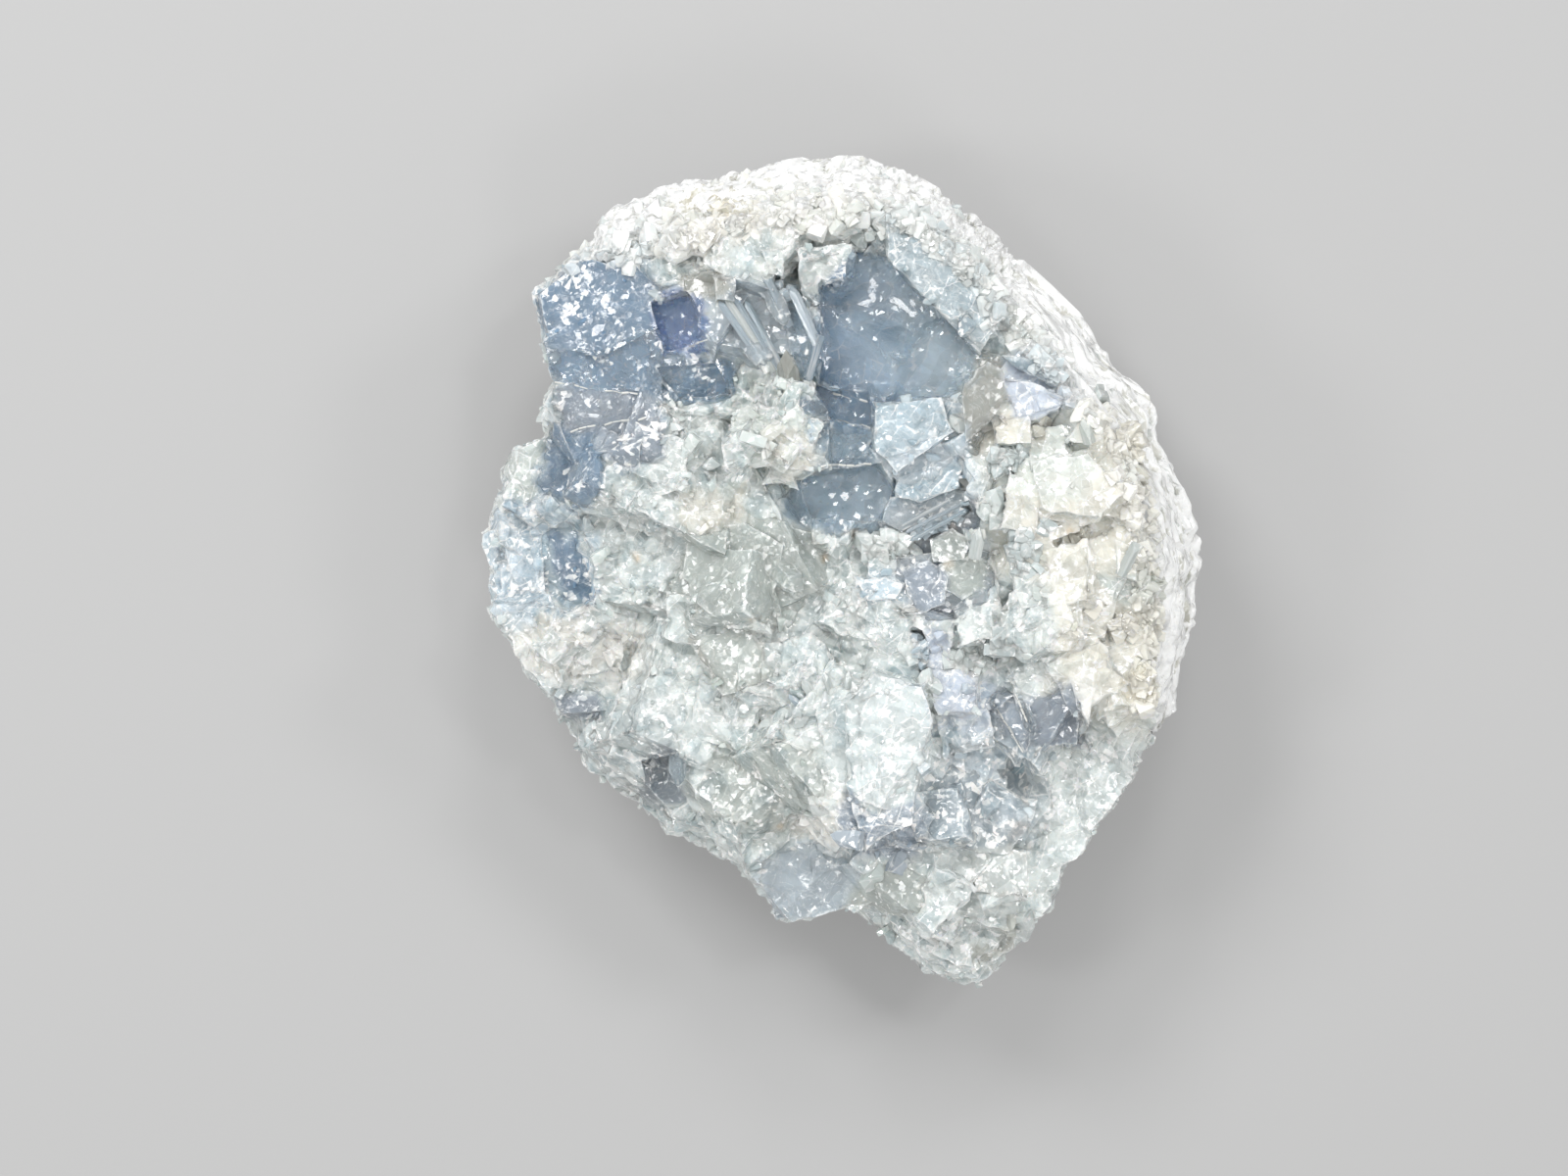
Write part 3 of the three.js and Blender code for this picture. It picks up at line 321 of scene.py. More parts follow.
# Patches of painted glints: column, row, half widths across and down in pixels, how many from 0 to 1
SPARKLES = [
    (584, 300, 44, 38, 0.66), (612, 340, 24, 18, 0.3), (708, 392, 34, 13, 0.6), (640, 404, 26, 14, 0.35),
    (650, 452, 32, 26, 0.75), (584, 474, 28, 38, 0.3), (538, 482, 26, 26, 0.4), (758, 586, 74, 58, 0.32),
    (578, 576, 34, 50, 0.5), (526, 560, 30, 66, 0.55), (612, 596, 30, 40, 0.5), (1000, 806, 66, 64, 0.62),
    (962, 760, 34, 44, 0.6), (645, 770, 60, 50, 0.4), (770, 800, 64, 50, 0.42), (905, 780, 50, 96, 0.5),
    (976, 700, 36, 46, 0.5), (966, 270, 56, 54, 0.2), (934, 440, 46, 38, 0.3), (950, 488, 38, 26, 0.3),
    (980, 590, 46, 42, 0.42), (826, 905, 42, 32, 0.22), (905, 914, 40, 26, 0.4), (1020, 890, 42, 34, 0.6),
    (975, 955, 46, 40, 0.6), (1110, 540, 80, 90, 0.4), (1140, 660, 60, 70, 0.4), (1100, 800, 56, 70, 0.55),
    (880, 620, 56, 56, 0.5), (780, 700, 84, 58, 0.5), (700, 490, 66, 60, 0.5), (795, 430, 48, 54, 0.5),
    (845, 278, 34, 34, 0.6), (760, 220, 120, 40, 0.5), (590, 660, 58, 38, 0.5), (1040, 650, 56, 50, 0.5),
    (866, 505, 52, 32, 0.05), (916, 340, 90, 84, 0.0), (925, 365, 12, 9, 0.75), (1050, 400, 40, 26, 0.2),
    (1060, 735, 40, 34, 0.2), (640, 236, 34, 26, 0.4), (864, 440, 32, 40, 0.05), (690, 334, 24, 24, 0.1),
    (772, 336, 44, 48, 0.1), (1008, 408, 26, 42, 0.1),
]


def linear(rgb):
    """A palette colour as the reflected light that the picture's gamma turns into it."""
    share = np.array(rgb, float) / 255
    return np.where(share <= 0.04045, share / 12.92, ((share + 0.055) / 1.055) ** 2.4) ** GAMMA


def pixel_span(height):
    """How many millimetres one pixel of the photograph spans at a height in millimetres."""
    return PIXEL * (EYE_DISTANCE - (height - OUTLINE_HEIGHT)) / EYE_DISTANCE


def sight(column, row, height):
    """The point at a height in millimetres that the photograph shows at a pixel, in metres."""
    scale = pixel_span(height)
    x = EYE[0] + (column - PICTURE_CENTRE[0]) * scale
    y = EYE[1] + (PICTURE_CENTRE[1] - row) * scale
    return Vector((x, y, height)) * MM


def seen_at(points):
    """The photograph's pixel for each point of an array in metres."""
    x, y, z = (points / MM).T
    scale = pixel_span(z)
    return np.stack([PICTURE_CENTRE[0] + (x - EYE[0]) / scale, PICTURE_CENTRE[1] - (y - EYE[1]) / scale], 1)


def smooth(values, low, high):
    """0 at low and 1 at high, smooth between and level beyond; low may be the greater of the two."""
    share = np.clip((values - low) / (high - low), 0, 1)
    return share * share * (3 - 2 * share)


def blend(first, second, share):
    """Rows of the first array turned into the second's, by a share for each row."""
    share = share[:, None]
    return first * (1 - share) + np.asarray(second) * share


def above(points, height, reach):
    """0 at a height in millimetres and below it, 1 from a reach above it, even between."""
    return np.clip((points[:, 2] / MM - height) / reach, 0, 1)


def ripple(points, wavelength, seed):
    """Smooth numbers from about -1 to 1 that vary over space, for each point of an array in metres."""
    rng = np.random.default_rng(seed)
    total = np.zeros(len(points))
    for _ in range(7):
        way = rng.normal(size=3)
        way /= np.linalg.norm(way)
        pace = 2 * math.pi / (wavelength * rng.uniform(0.6, 1.7))
        total += np.sin(points @ way * pace + rng.uniform(0, 2 * math.pi))
    return total / 2.6


def ripples(points, wavelength, *seeds):
    """Ripples of several seeds, side by side."""
    return np.stack([ripple(points, wavelength, seed) for seed in seeds], 1)


def inside(pixels, corners):
    """How far each pixel lies inside an outline, below 0 outside it."""
    corners = np.array(corners, float)
    nearest = np.full(len(pixels), 1e9)
    within = np.zeros(len(pixels), bool)
    for start, end in zip(corners, np.roll(corners, -1, 0)):
        way, offset = end - start, pixels - start
        share = np.clip(offset @ way / (way @ way), 0, 1)
        nearest = np.minimum(nearest, np.linalg.norm(offset - share[:, None] * way, axis=1))
        crosses = (start[1] > pixels[:, 1]) != (end[1] > pixels[:, 1])
        height = way[1] if way[1] else 1e-9
        within ^= crosses & (offset[:, 0] < way[0] * offset[:, 1] / height)
    return np.where(within, nearest, -nearest)


def blended_zones(pixels, facing):
    """Tint, sugar and clearness in one row for each pixel, from the zones that it lies in or near."""
    weights = [0.25 + 1.5 * (1 - facing)]
    values = [[*linear(PALETTE[SIDE_ZONE[0]]), *SIDE_ZONE[1:]]]
    for _, column, row, across, down, turn, tint, sugar, clear in ZONES:
        angle = math.radians(turn)
        dx, dy = pixels[:, 0] - column, row - pixels[:, 1]
        along = (dx * math.cos(angle) + dy * math.sin(angle)) / across
        over = (dy * math.cos(angle) - dx * math.sin(angle)) / down
        near = 1 / (1 + (along**2 + over**2) ** 3)
        size = (60 / math.sqrt(across * down)) ** 0.5
        weights.append(near * size * facing)
        values.append([*linear(PALETTE[tint]), sugar, clear])
    weights = np.stack(weights, 1) ** 3
    weights /= weights.sum(1, keepdims=True)
    return weights @ np.array(values)


def zone_values(points, normals):
    """Tint, sugar and clearness for each point, from the zones, faces and stains that it falls in."""
    pixels = seen_at(points)
    pixels += 8 * ripples(points, 5 * MM, 1, 3) + 4 * ripples(points, 1.5 * MM, 2, 4)
    facing = facing_up(normals) * above(points, FRONT_FOOT, 5)
    mixed = blended_zones(pixels, facing)
    glassy = smooth(ripple(points, 3.6 * MM, 13) + 0.5 * ripple(points, 1.8 * MM, 14), 0.1, 0.7)
    glassy *= smooth(mixed[:, 3], 0.3, 0.5) * facing * (1 - 0.6 * smooth(pixels[:, 0], *RIGHT_SIDE))
    mixed[:, :3] *= (1 - 0.3 * glassy)[:, None] ** [1.25, 1.0, 0.9]
    mixed[:, 3] *= 1 - 0.5 * glassy
    sharp = seen_at(points) + 1.5 * ripples(points, 1.5 * MM, 5, 6)
    for _, corners, tint, sugar, clear in FACES:
        share = smooth(inside(sharp, corners), -2.5, 2.5) * facing
        mixed = blend(mixed, [*linear(PALETTE[tint]), sugar, clear], share)
    for stain in STAINS:
        share = 0.6 * np.exp(-((sharp - stain) ** 2).sum(1) / 16)
        mixed[:, :3] = blend(mixed[:, :3], linear(PALETTE["rust"]), share)
    across, down = ((sharp - PANES_BLUEST) / PANES_PALING).T
    pale = smooth(across - down + 0.08 * ripple(points, 4 * MM, 7), -0.1, 1.1)
    hue = blend(linear(PALETTE["pool"]), linear(PALETTE["veil"]), pale)
    mixed[:, :3] = blend(mixed[:, :3], hue, smooth(inside(sharp, PANES), -1, 3) * facing)
    return mixed[:, :3], mixed[:, 3], mixed[:, 4]


def sparkle_values(points):
    """How many painted glints lie round each point, from 0 to 1."""
    pixels = seen_at(points)
    pixels += 9 * ripples(points, 3 * MM, 8, 10) + 4 * ripples(points, 1.2 * MM, 9, 11)
    amount = np.full(len(points), 0.25)
    for column, row, across, down, share in SPARKLES:
        reach = ((pixels[:, 0] - column) / across) ** 2 + ((pixels[:, 1] - row) / down) ** 2
        near = 1 - smooth(reach, 0.5, 1.3)
        amount = amount * (1 - near) + share * near
    return amount * np.clip(0.75 + 0.4 * ripple(points, 2 * MM, 12), 0.2, 1.2)


def random_turns(rng, count):
    """Random rotation matrices."""
    q = rng.normal(size=(count, 4))
    w, x, y, z = (q / np.linalg.norm(q, axis=1, keepdims=True)).T
    rows = [
        [1 - 2 * (y * y + z * z), 2 * (x * y - z * w), 2 * (x * z + y * w)],
        [2 * (x * y + z * w), 1 - 2 * (x * x + z * z), 2 * (y * z - x * w)],
        [2 * (x * z - y * w), 2 * (y * z + x * w), 1 - 2 * (x * x + y * y)],
    ]
    return np.moveaxis(np.array(rows), 2, 0)


def crystal_relief(points, spacing, seed):
    """Height of box-shaped crystals grown together at a spacing, and a random value for each crystal."""
    kinds, primes = 2048, np.array([73856093, 19349663, 83492791])
    rng = np.random.default_rng(seed)
    jitter, reach = rng.uniform(size=(kinds, 3)), rng.uniform(0.32, 0.85, (kinds, 3))
    turns, shades = random_turns(rng, kinds), rng.uniform(size=kinds)
    scaled = points / spacing
    base = np.floor(scaled).astype(np.int64)
    best, shade = np.full(len(points), -9.0), np.zeros(len(points))
    for offset in itertools.product((-1, 0, 1), repeat=3):
        cell = base + offset
        kind = (cell @ primes) % kinds
        local = np.einsum("nij,nj->ni", turns[kind], scaled - cell - jitter[kind])
        height = (reach[kind] - np.abs(local)).min(1)
        nearer = height > best
        best, shade = np.where(nearer, height, best), np.where(nearer, shades[kind], shade)
    return best * spacing, shade


class Wire:
    """A shader value; arithmetic on it adds Math nodes."""

    def __init__(self, maker, socket):
        self.maker, self.socket = maker, socket

    def math(self, operation, *others):
        """A Math node on this value and others."""
        return self.maker.add("ShaderNodeMath", {"operation": operation}, [self, *others])

    def __add__(self, other):
        return self.math("ADD", other)

    __radd__ = __add__

    def __mul__(self, other):
        return self.math("MULTIPLY", other)

    __rmul__ = __mul__

    def __sub__(self, other):
        return self.math("SUBTRACT", other)

    def __rsub__(self, other):
        return self.maker.add("ShaderNodeMath", {"operation": "SUBTRACT"}, [other, self])

    def band(self, low, high):
        """0 below low and 1 above high, smooth between."""
        ranges = [self, low, high, 0.0, 1.0]
        return self.maker.add("ShaderNodeMapRange", {"interpolation_type": "SMOOTHSTEP"}, ranges)


class Maker:
    """Builds one material's nodes."""

    def __init__(self, name):
        self.material = bpy.data.materials.new(name)
        self.material.use_nodes = True
        self.tree = self.material.node_tree
        self.tree.nodes.clear()

    def add(self, kind, settings=None, inputs=(), output=0):
        """A node with its settings, then its sockets' values or links, by index or by name."""
        node = self.tree.nodes.new(kind)
        for key, value in (settings or {}).items():
            setattr(node, key, value)
        pairs = inputs.items() if isinstance(inputs, dict) else enumerate(inputs)
        for key, value in pairs:
            if isinstance(value, Wire):
                self.tree.links.new(value.socket, node.inputs[key])
            else:
                node.inputs[key].default_value = value
        return Wire(self, node.outputs[output])

    def attribute(self, name, output="Color"):
        """A value that the mesh holds."""
        return self.add("ShaderNodeAttribute", {"attribute_name": name}, output=output)

    def noise(self, scale, detail, roughness=0.55, distortion=0.0, vector=None):
        """Cloudy noise at a scale per metre."""
        sockets = {"Vector": vector or self.place, "Scale": scale, "Detail": detail, "Roughness": roughness,
                   "Distortion": distortion}
        return self.add("ShaderNodeTexNoise", {}, sockets)

    def cells(self, spacing, feature, output, vector):
        """Random cells at a spacing in metres."""
        sockets = {"Vector": vector, "Scale": 1 / spacing}
        return self.add("ShaderNodeTexVoronoi", {"feature": feature}, sockets, output)

    def stretched(self, vector, rotation, stretch):
        """Places in which a pattern comes out turned and drawn out one way."""
        sockets = {"Vector": vector, "Rotation": rotation, "Scale": (stretch, 1, 1)}
        return self.add("ShaderNodeMapping", {"vector_type": "TEXTURE"}, sockets)

    def facets(self, spacing, stretch, turn, vector=None):
        """Flat facets that each slope their own way: height in metres, way to the border, random value."""
        place = self.stretched(vector or self.place, (0.25, 0.4, turn), stretch)
        centre = self.cells(spacing, "F1", "Position", place)
        own = Wire(self, centre.socket.node.outputs["Color"])
        border = self.cells(spacing, "DISTANCE_TO_EDGE", "Distance", place)
        offset = self.add("ShaderNodeVectorMath", {"operation": "SUBTRACT"}, [place, centre])
        way = self.add("ShaderNodeVectorMath", {"operation": "SUBTRACT"}, [own, (0.5, 0.5, 0.5)])
        slope = self.add("ShaderNodeVectorMath", {"operation": "DOT_PRODUCT"}, [offset, way], "Value")
        return slope, border, own.band(0.3, 0.7)

    def painted_glints(self, amount):
        """Painted glints, white angular flakes: none where the amount is low, most where it is 1."""
        total = 0.5 * amount
        for spacing, turn in ((0.00045, 0.8), (0.0008, -0.6)):
            place = self.stretched(self.place, (0.3, 0.5, turn), 2.0)
            total = total + 0.5 * self.cells(spacing, "F1", "Color", place)
        return total.band(0.78, 1.02)

    @property
    def place(self):
        """The place on the piece, in metres."""
        return self.add("ShaderNodeTexCoord", output="Object")

    def mix(self, factor, low, high):
        """One colour turned into another by a factor."""
        return self.add("ShaderNodeMix", {"data_type": "RGBA"}, {0: factor, 6: low, 7: high}, 2)

    def shade(self, colour, strength):
        """A colour made lighter or darker by a number."""
        return self.add("ShaderNodeVectorMath", {"operation": "SCALE"}, {"Vector": colour, "Scale": strength})

    def bump(self, height, strength=1.0):
        """Relief of a height in metres."""
        return self.add("ShaderNodeBump", {}, {"Height": height, "Distance": 1.0, "Strength": strength})

    def vein(self, scale, detail, roughness, distortion, width):
        """1 along thin winding lines, else 0."""
        wave = self.noise(scale, detail, roughness, distortion)
        return 1 - (wave - 0.5).math("ABSOLUTE").band(0.0, width)

    def principled(self, **sockets):
        """The main shader; an underscore in a socket's name stands for a space."""
        named = {key.replace("_", " "): value for key, value in sockets.items()}
        return self.add("ShaderNodeBsdfPrincipled", {}, named)

    def glass(self, base, roughness, normal=None):
        """Clear celestite."""
        relief = {"Normal": normal} if normal else {}
        return self.principled(Base_Color=base, Roughness=roughness, IOR=CELESTITE_IOR,
                               Transmission_Weight=1.0, **relief)

    def milk(self, base, roughness, normal, weight, radius, scale, ior=CELESTITE_IOR):
        """Cloudy mineral: a share of the light sinks in by the scale in metres, each colour by its radius."""
        return self.principled(Base_Color=base, Roughness=roughness, IOR=ior, Normal=normal,
                               Subsurface_Weight=weight, Subsurface_Radius=radius, Subsurface_Scale=scale)

    def finish(self, surface, volume=None):
        """The material, once its surface and any volume are joined to the output."""
        end = self.tree.nodes.new("ShaderNodeOutputMaterial")
        self.tree.links.new(surface.socket, end.inputs["Surface"])
        if volume:
            self.tree.links.new(volume.socket, end.inputs["Volume"])
        return self.material


def colour(key):
    """A palette colour as a colour socket takes it."""
    return (*linear(PALETTE[key]), 1.0)


def crystal_body_material():
    """The grown-together mass: cloudy blue to white, splintered into glassy facets and bruised white, with
    painted glints and white sharp edges that are partly painted highlight.
    """
    m = Maker("celestite_body")
    tint = m.attribute("tint")
    sugar = m.attribute("sugar", "Fac")
    shade = m.attribute("shade", "Fac")
    edge = m.attribute("edge", "Fac")
    broad, broad_border, broad_own = m.facets(0.0022, 2.8, 0.9)
    small, small_border, small_own = m.facets(0.0009, 3.0, -0.5)
    cloud = m.noise(150, 3, 0.6).band(0.4, 0.7)
    vein = m.vein(700, 3, 0.65, 1.0, 0.05)
    fleck = m.noise(1500, 3, 0.6).band(0.5, 0.66)
    line = (1 - broad_border.band(0.0, 0.04)) * 0.7 + (1 - small_border.band(0.0, 0.05)) * 0.4
    line = line * m.noise(500, 2).band(0.4, 0.6)
    # White along sharp edges is partly frosted chips and partly painted edge highlight; the flakes added
    # below are painted glints
    white = cloud * 0.12 + vein * (0.1 + 0.15 * sugar) + fleck * (0.03 + 0.2 * sugar) + edge * 0.3 + line
    white = white + m.painted_glints(m.attribute("sparkle", "Fac"))
    # Each facet's tone differs at random, partly its own tone and partly painted shading of facets that tilt
    # their own ways
    patch = 0.76 + 0.08 * shade + 0.22 * broad_own + 0.16 * small_own
    body = m.mix(white.math("MINIMUM", 1.0), m.shade(tint, patch), BRIGHT)
    rugged = 0.02 + 0.98 * sugar
    height = (broad * 1.8 + small * 2.0 + m.noise(1800, 1, 0.6) * 0.00008) * rugged
    rough = 0.07 + 0.1 * fleck * sugar
    return m.finish(m.milk(body, rough, m.bump(height), 0.6, (0.75, 0.87, 1.0), 0.0014))


def clear_crystal_material():
    """See-through celestite: glass-like faces with cloudy patches, wisps, white edges that are partly painted
    edge highlight, and painted glints.
    """
    m = Maker("celestite_clear")
    tint = m.attribute("tint")
    frost = m.attribute("frost", "Fac")
    sugar = m.attribute("sugar", "Fac")
    chip = m.noise(1100, 3, 0.6).band(0.4, 0.62)
    # White along sharp edges where the chip noise lets it: partly chipped frost, partly painted edge
    # highlight
    edge = m.attribute("edge", "Fac").band(0.3, 0.9) * chip
    broad, broad_border, broad_own = m.facets(0.0032, 2.2, 0.4)
    small, _, _ = m.facets(0.0012, 2.4, -0.9)
    sparkle = m.attribute("sparkle", "Fac")
    rugged = (0.02 + 0.8 * (sugar + frost * 0.25) + 0.4 * sparkle).math("MINIMUM", 0.8)
    cloud = m.noise(170, 3, 0.6).band(0.46, 0.8)
    wisp = m.vein(420, 3, 0.6, 1.4, 0.03)
    grain = m.noise(1600, 1, 0.6) * 0.00006
    line = (1 - broad_border.band(0.0, 0.04)) * m.noise(400, 2).band(0.45, 0.6) * rugged
    # The flakes added here are painted glints, which also turn those spots cloudy
    line = line * 0.35 + m.painted_glints(sparkle) * 1.5
    white = (0.06 + 0.2 * wisp + 0.4 * edge + 0.6 * line).math("MINIMUM", 1.0)
    body = m.mix(white, m.shade(tint, 0.86 + 0.2 * broad_own), BRIGHT)
    relief = m.bump((broad * 0.9 + small) * rugged + grain)
    cloudy = m.milk(body, 0.12, relief, 0.6, (0.7, 0.85, 1.0), 0.003)
    waves = m.noise(260, 2, 0.5) * 0.00005
    glassy = m.glass((0.97, 0.985, 1, 1), 0.05, m.bump((broad * 0.6 + small * 0.6) * rugged + waves))
    share = 0.16 + cloud * 0.25 + wisp * 0.2 * cloud + edge * 0.4 + line * 0.6 + 0.8 * frost.band(0.1, 0.7)
    blend = m.add("ShaderNodeMixShader", {}, [share.math("MINIMUM", 1.0), glassy, cloudy])
    depth = m.add("ShaderNodeVolumeAbsorption", {}, {"Color": (0.42, 0.68, 0.92, 1), "Density": 30.0})
    return m.finish(blend, depth)


def sugar_material():
    """Small druse crystals: each with its own tint and frost, bright and glassy, with painted glints."""
    m = Maker("celestite_sugar")
    tint = m.attribute("tint")
    frost = m.attribute("frost", "Fac")
    glassy = m.glass(m.mix(0.7, tint, WHITE), 0.05)
    broad, border, broad_own = m.facets(0.0022, 2.8, 0.9)
    small, _, small_own = m.facets(0.0009, 3.0, -0.5)
    # The flakes added to the white are painted glints; each facet's tone differs partly at random and partly
    # as painted facet shading, as on the body
    white = (1 - border.band(0.0, 0.05)) * 0.5 * m.noise(500, 2).band(0.4, 0.6) + m.painted_glints(0.35)
    body = m.shade(tint, 0.93 + 0.14 * broad_own + 0.1 * small_own)
    body = m.mix(white.math("MINIMUM", 1.0), body, BRIGHT)
    milky = m.milk(body, 0.08, m.bump(broad * 0.8 + small), 0.5, (0.8, 0.9, 1.0), 0.0008)
    return m.finish(m.add("ShaderNodeMixShader", {}, [frost, glassy, milky]))


def blade_material():
    """Long crystals: glassy and milky by turns, with fine lines along their length."""
    m = Maker("celestite_blade")
    tint = m.attribute("tint")
    frost = m.attribute("frost", "Fac")
    line = m.noise(1500, 3, 0.6, vector=m.attribute("grain", "Vector"))
    body = m.mix(line.band(0.5, 0.7) * 0.6, m.shade(tint, 0.82 + 0.3 * line), BRIGHT)
    height = line * 0.00025
    glassy = m.glass(m.mix(0.7, tint, WHITE), 0.05, m.bump(height, 0.5))
    milky = m.milk(body, 0.1, m.bump(height), 0.3, (0.8, 0.9, 1.0), 0.0012)
    return m.finish(m.add("ShaderNodeMixShader", {}, [frost, glassy, milky]))


def rind_material():
    """The geode's wall: grown of white, grey and beige grains drawn out along the rim, with painted glints;
    its crests are whiter and its troughs greyer, partly the grains and partly painted highlight and shade.
    """
    m = Maker("geode_wall")
    tint = m.attribute("tint")
    crest = m.attribute("crest", "Fac")
    crust = m.attribute("crust", "Fac")
    along = m.attribute("rim", "Vector")
    broad, border, own = m.facets(0.0013, 1.0, 0.5, along)
    small, _, small_own = m.facets(0.0006, 1.0, -0.4, along)
    patch = m.noise(260, 4, 0.65)
    streak = m.noise(1000, 3, 0.6, vector=along)
    ground = m.mix(patch.band(0.52, 0.7) * 0.4, tint, colour("sand"))
    # The white along streaks and crests and the grey in the troughs are partly the wall's own grains and
    # partly painted highlight and painted shade
    ground = m.mix((1 - crest) * 0.35, m.shade(ground, 0.9 + 0.1 * own + 0.08 * small_own), colour("smoke"))
    white = (0.35 * own + 0.45 * crest + 0.9 * streak - 0.5 * patch).band(0.28, 0.5) * 0.9
    white = white + (1 - border.band(0.0, 0.05)) * 0.35 * streak.band(0.4, 0.6)
    # The flakes added here are painted glints
    white = (white + m.painted_glints(0.7 + 0.1 * crust)).math("MINIMUM", 1.0)
    relief = m.bump(broad * 1.5 + small * 1.5 + streak * 0.0003, 0.9)
    body = m.mix(white, ground, BRIGHT)
    return m.finish(m.milk(body, 0.16 - 0.06 * white, relief, 0.6, (1.0, 0.97, 0.93), 0.0018, ior=1.6))


def mesh_object(name, vertices, faces, material):
    """A new object in the scene, made of vertices and faces."""
    mesh = bpy.data.meshes.new(name)
    mesh.from_pydata(vertices, [], faces)
    mesh.update()
    mesh.materials.append(material)
    obj = bpy.data.objects.new(name, mesh)
    bpy.context.scene.collection.objects.link(obj)
    return obj


def set_point_values(mesh, **arrays):
    """Stores numbers, or three at a time for places and colours, on the vertices."""
    for name, values in arrays.items():
        values = np.asarray(values, np.float32)
        kind, field = ("FLOAT", "value") if values.ndim == 1 else ("FLOAT_VECTOR", "vector")
        mesh.attributes.new(name, kind, "POINT").data.foreach_set(field, values.ravel())


def vertex_array(items, field="co"):
    """Three numbers for each vertex, as an array."""
    values = np.zeros(len(items) * 3, np.float32)
    items.foreach_get(field, values)
    return values.reshape(-1, 3).astype(float)


def shape_mesh(mesh, places):
    """Moves a mesh's vertices to an array of places, kept within the CAD model's box."""
    low, high = np.array(cad_box)
    places[:, :2] = np.clip(places[:, :2], low[:2] + INSET, high[:2] - INSET)
    places[:, 2] = np.clip(places[:, 2], 0, high[2] - INSET)
    mesh.vertices.foreach_set("co", places.astype(np.float32).ravel())
    mesh.update()


def refined_copy(node, name, front, side):
    """A merged copy of a CAD solid, its edges split to a length on the front and to another elsewhere."""
    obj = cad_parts[node].copy()
    obj.data = obj.data.copy()
    obj.name = obj.data.name = name
    obj.parent = None
    obj.hide_render = obj.hide_viewport = False
    # What the solid is marked with stays with the solid alone
    for key in list(obj.keys()):
        del obj[key]
    bpy.context.scene.collection.objects.link(obj)
    work = bmesh.new()
    work.from_mesh(obj.data)
    bmesh.ops.remove_doubles(work, verts=work.verts, dist=2e-6)

    def longest(edge):
        if max(edge.verts[0].co.z, edge.verts[1].co.z) < SEAT_TOP * MM:
            return 1.0
        return front if max(face.normal.z for face in edge.link_faces) > 0.3 else side

    for _ in range(8):
        long_edges = [edge for edge in work.edges if edge.calc_length() > longest(edge)]
        if not long_edges:
            break
        bmesh.ops.subdivide_edges(work, edges=long_edges, cuts=1, use_grid_fill=False)
        bmesh.ops.triangulate(work, faces=[face for face in work.faces if len(face.verts) > 3])
    work.to_mesh(obj.data)
    work.free()
    obj.data.materials.clear()
    for polygon in obj.data.polygons:
        polygon.use_smooth = False
    return obj


def facing_up(normals):
    """1 for a face that looks up, 0 for one that looks down, even between."""
    return np.clip((normals[:, 2] + 0.25) / 0.4, 0, 1)


def chipped(places, ways):
    """How each place is moved along its way, in metres, so that straight edges look broken, not cut."""
    amount = 0.5 * (crystal_relief(places, 2.6 * MM, 71)[0] - 0.5 * MM)
    return ways * (amount * above(places, 12, 3))[:, None]


def under_glass(tint, clear):
    """A tint made lighter where clear crystal covers it: painted light against the shade that the clear
    crystal casts on it.
    """
    return blend(tint, np.minimum(tint / (0.27 + 0.6 * tint), LIGHTEST), smooth(clear, 0.4, 0.75))


def spread(mesh, values, rounds):
    """Values at the vertices, evened out with their neighbours' a number of times."""
    ends = np.zeros(len(mesh.edges) * 2, np.int32)
    mesh.edges.foreach_get("vertices", ends)
    first, second = ends.reshape(-1, 2).T
    columns = np.atleast_2d(np.asarray(values, float).T)
    number = len(mesh.vertices)
    count = np.bincount(first, minlength=number) + np.bincount(second, minlength=number)
    for _ in range(rounds):
        columns = np.array([
            0.5 * column + 0.5 * (np.bincount(first, column[second], number)
                                  + np.bincount(second, column[first], number)) / np.maximum(count, 1)
            for column in columns
        ])
    return columns.T if np.ndim(values) > 1 else columns[0]


def unit(vectors):
    """Each vector at length 1."""
    return vectors / np.maximum(np.linalg.norm(vectors, axis=1, keepdims=True), 1e-9)


def add_camera():
    """A camera that looks straight down, as the photograph does."""
    lens = bpy.data.cameras.new("camera")
    lens.sensor_width = 36
    lens.lens = lens.sensor_width * EYE_DISTANCE / (PHOTO_WIDTH * PIXEL)
    lens.clip_start = 0.01
    camera = bpy.data.objects.new("camera", lens)
    camera.location = EYE_PLACE
    bpy.context.scene.collection.objects.link(camera)
    bpy.context.scene.camera = camera


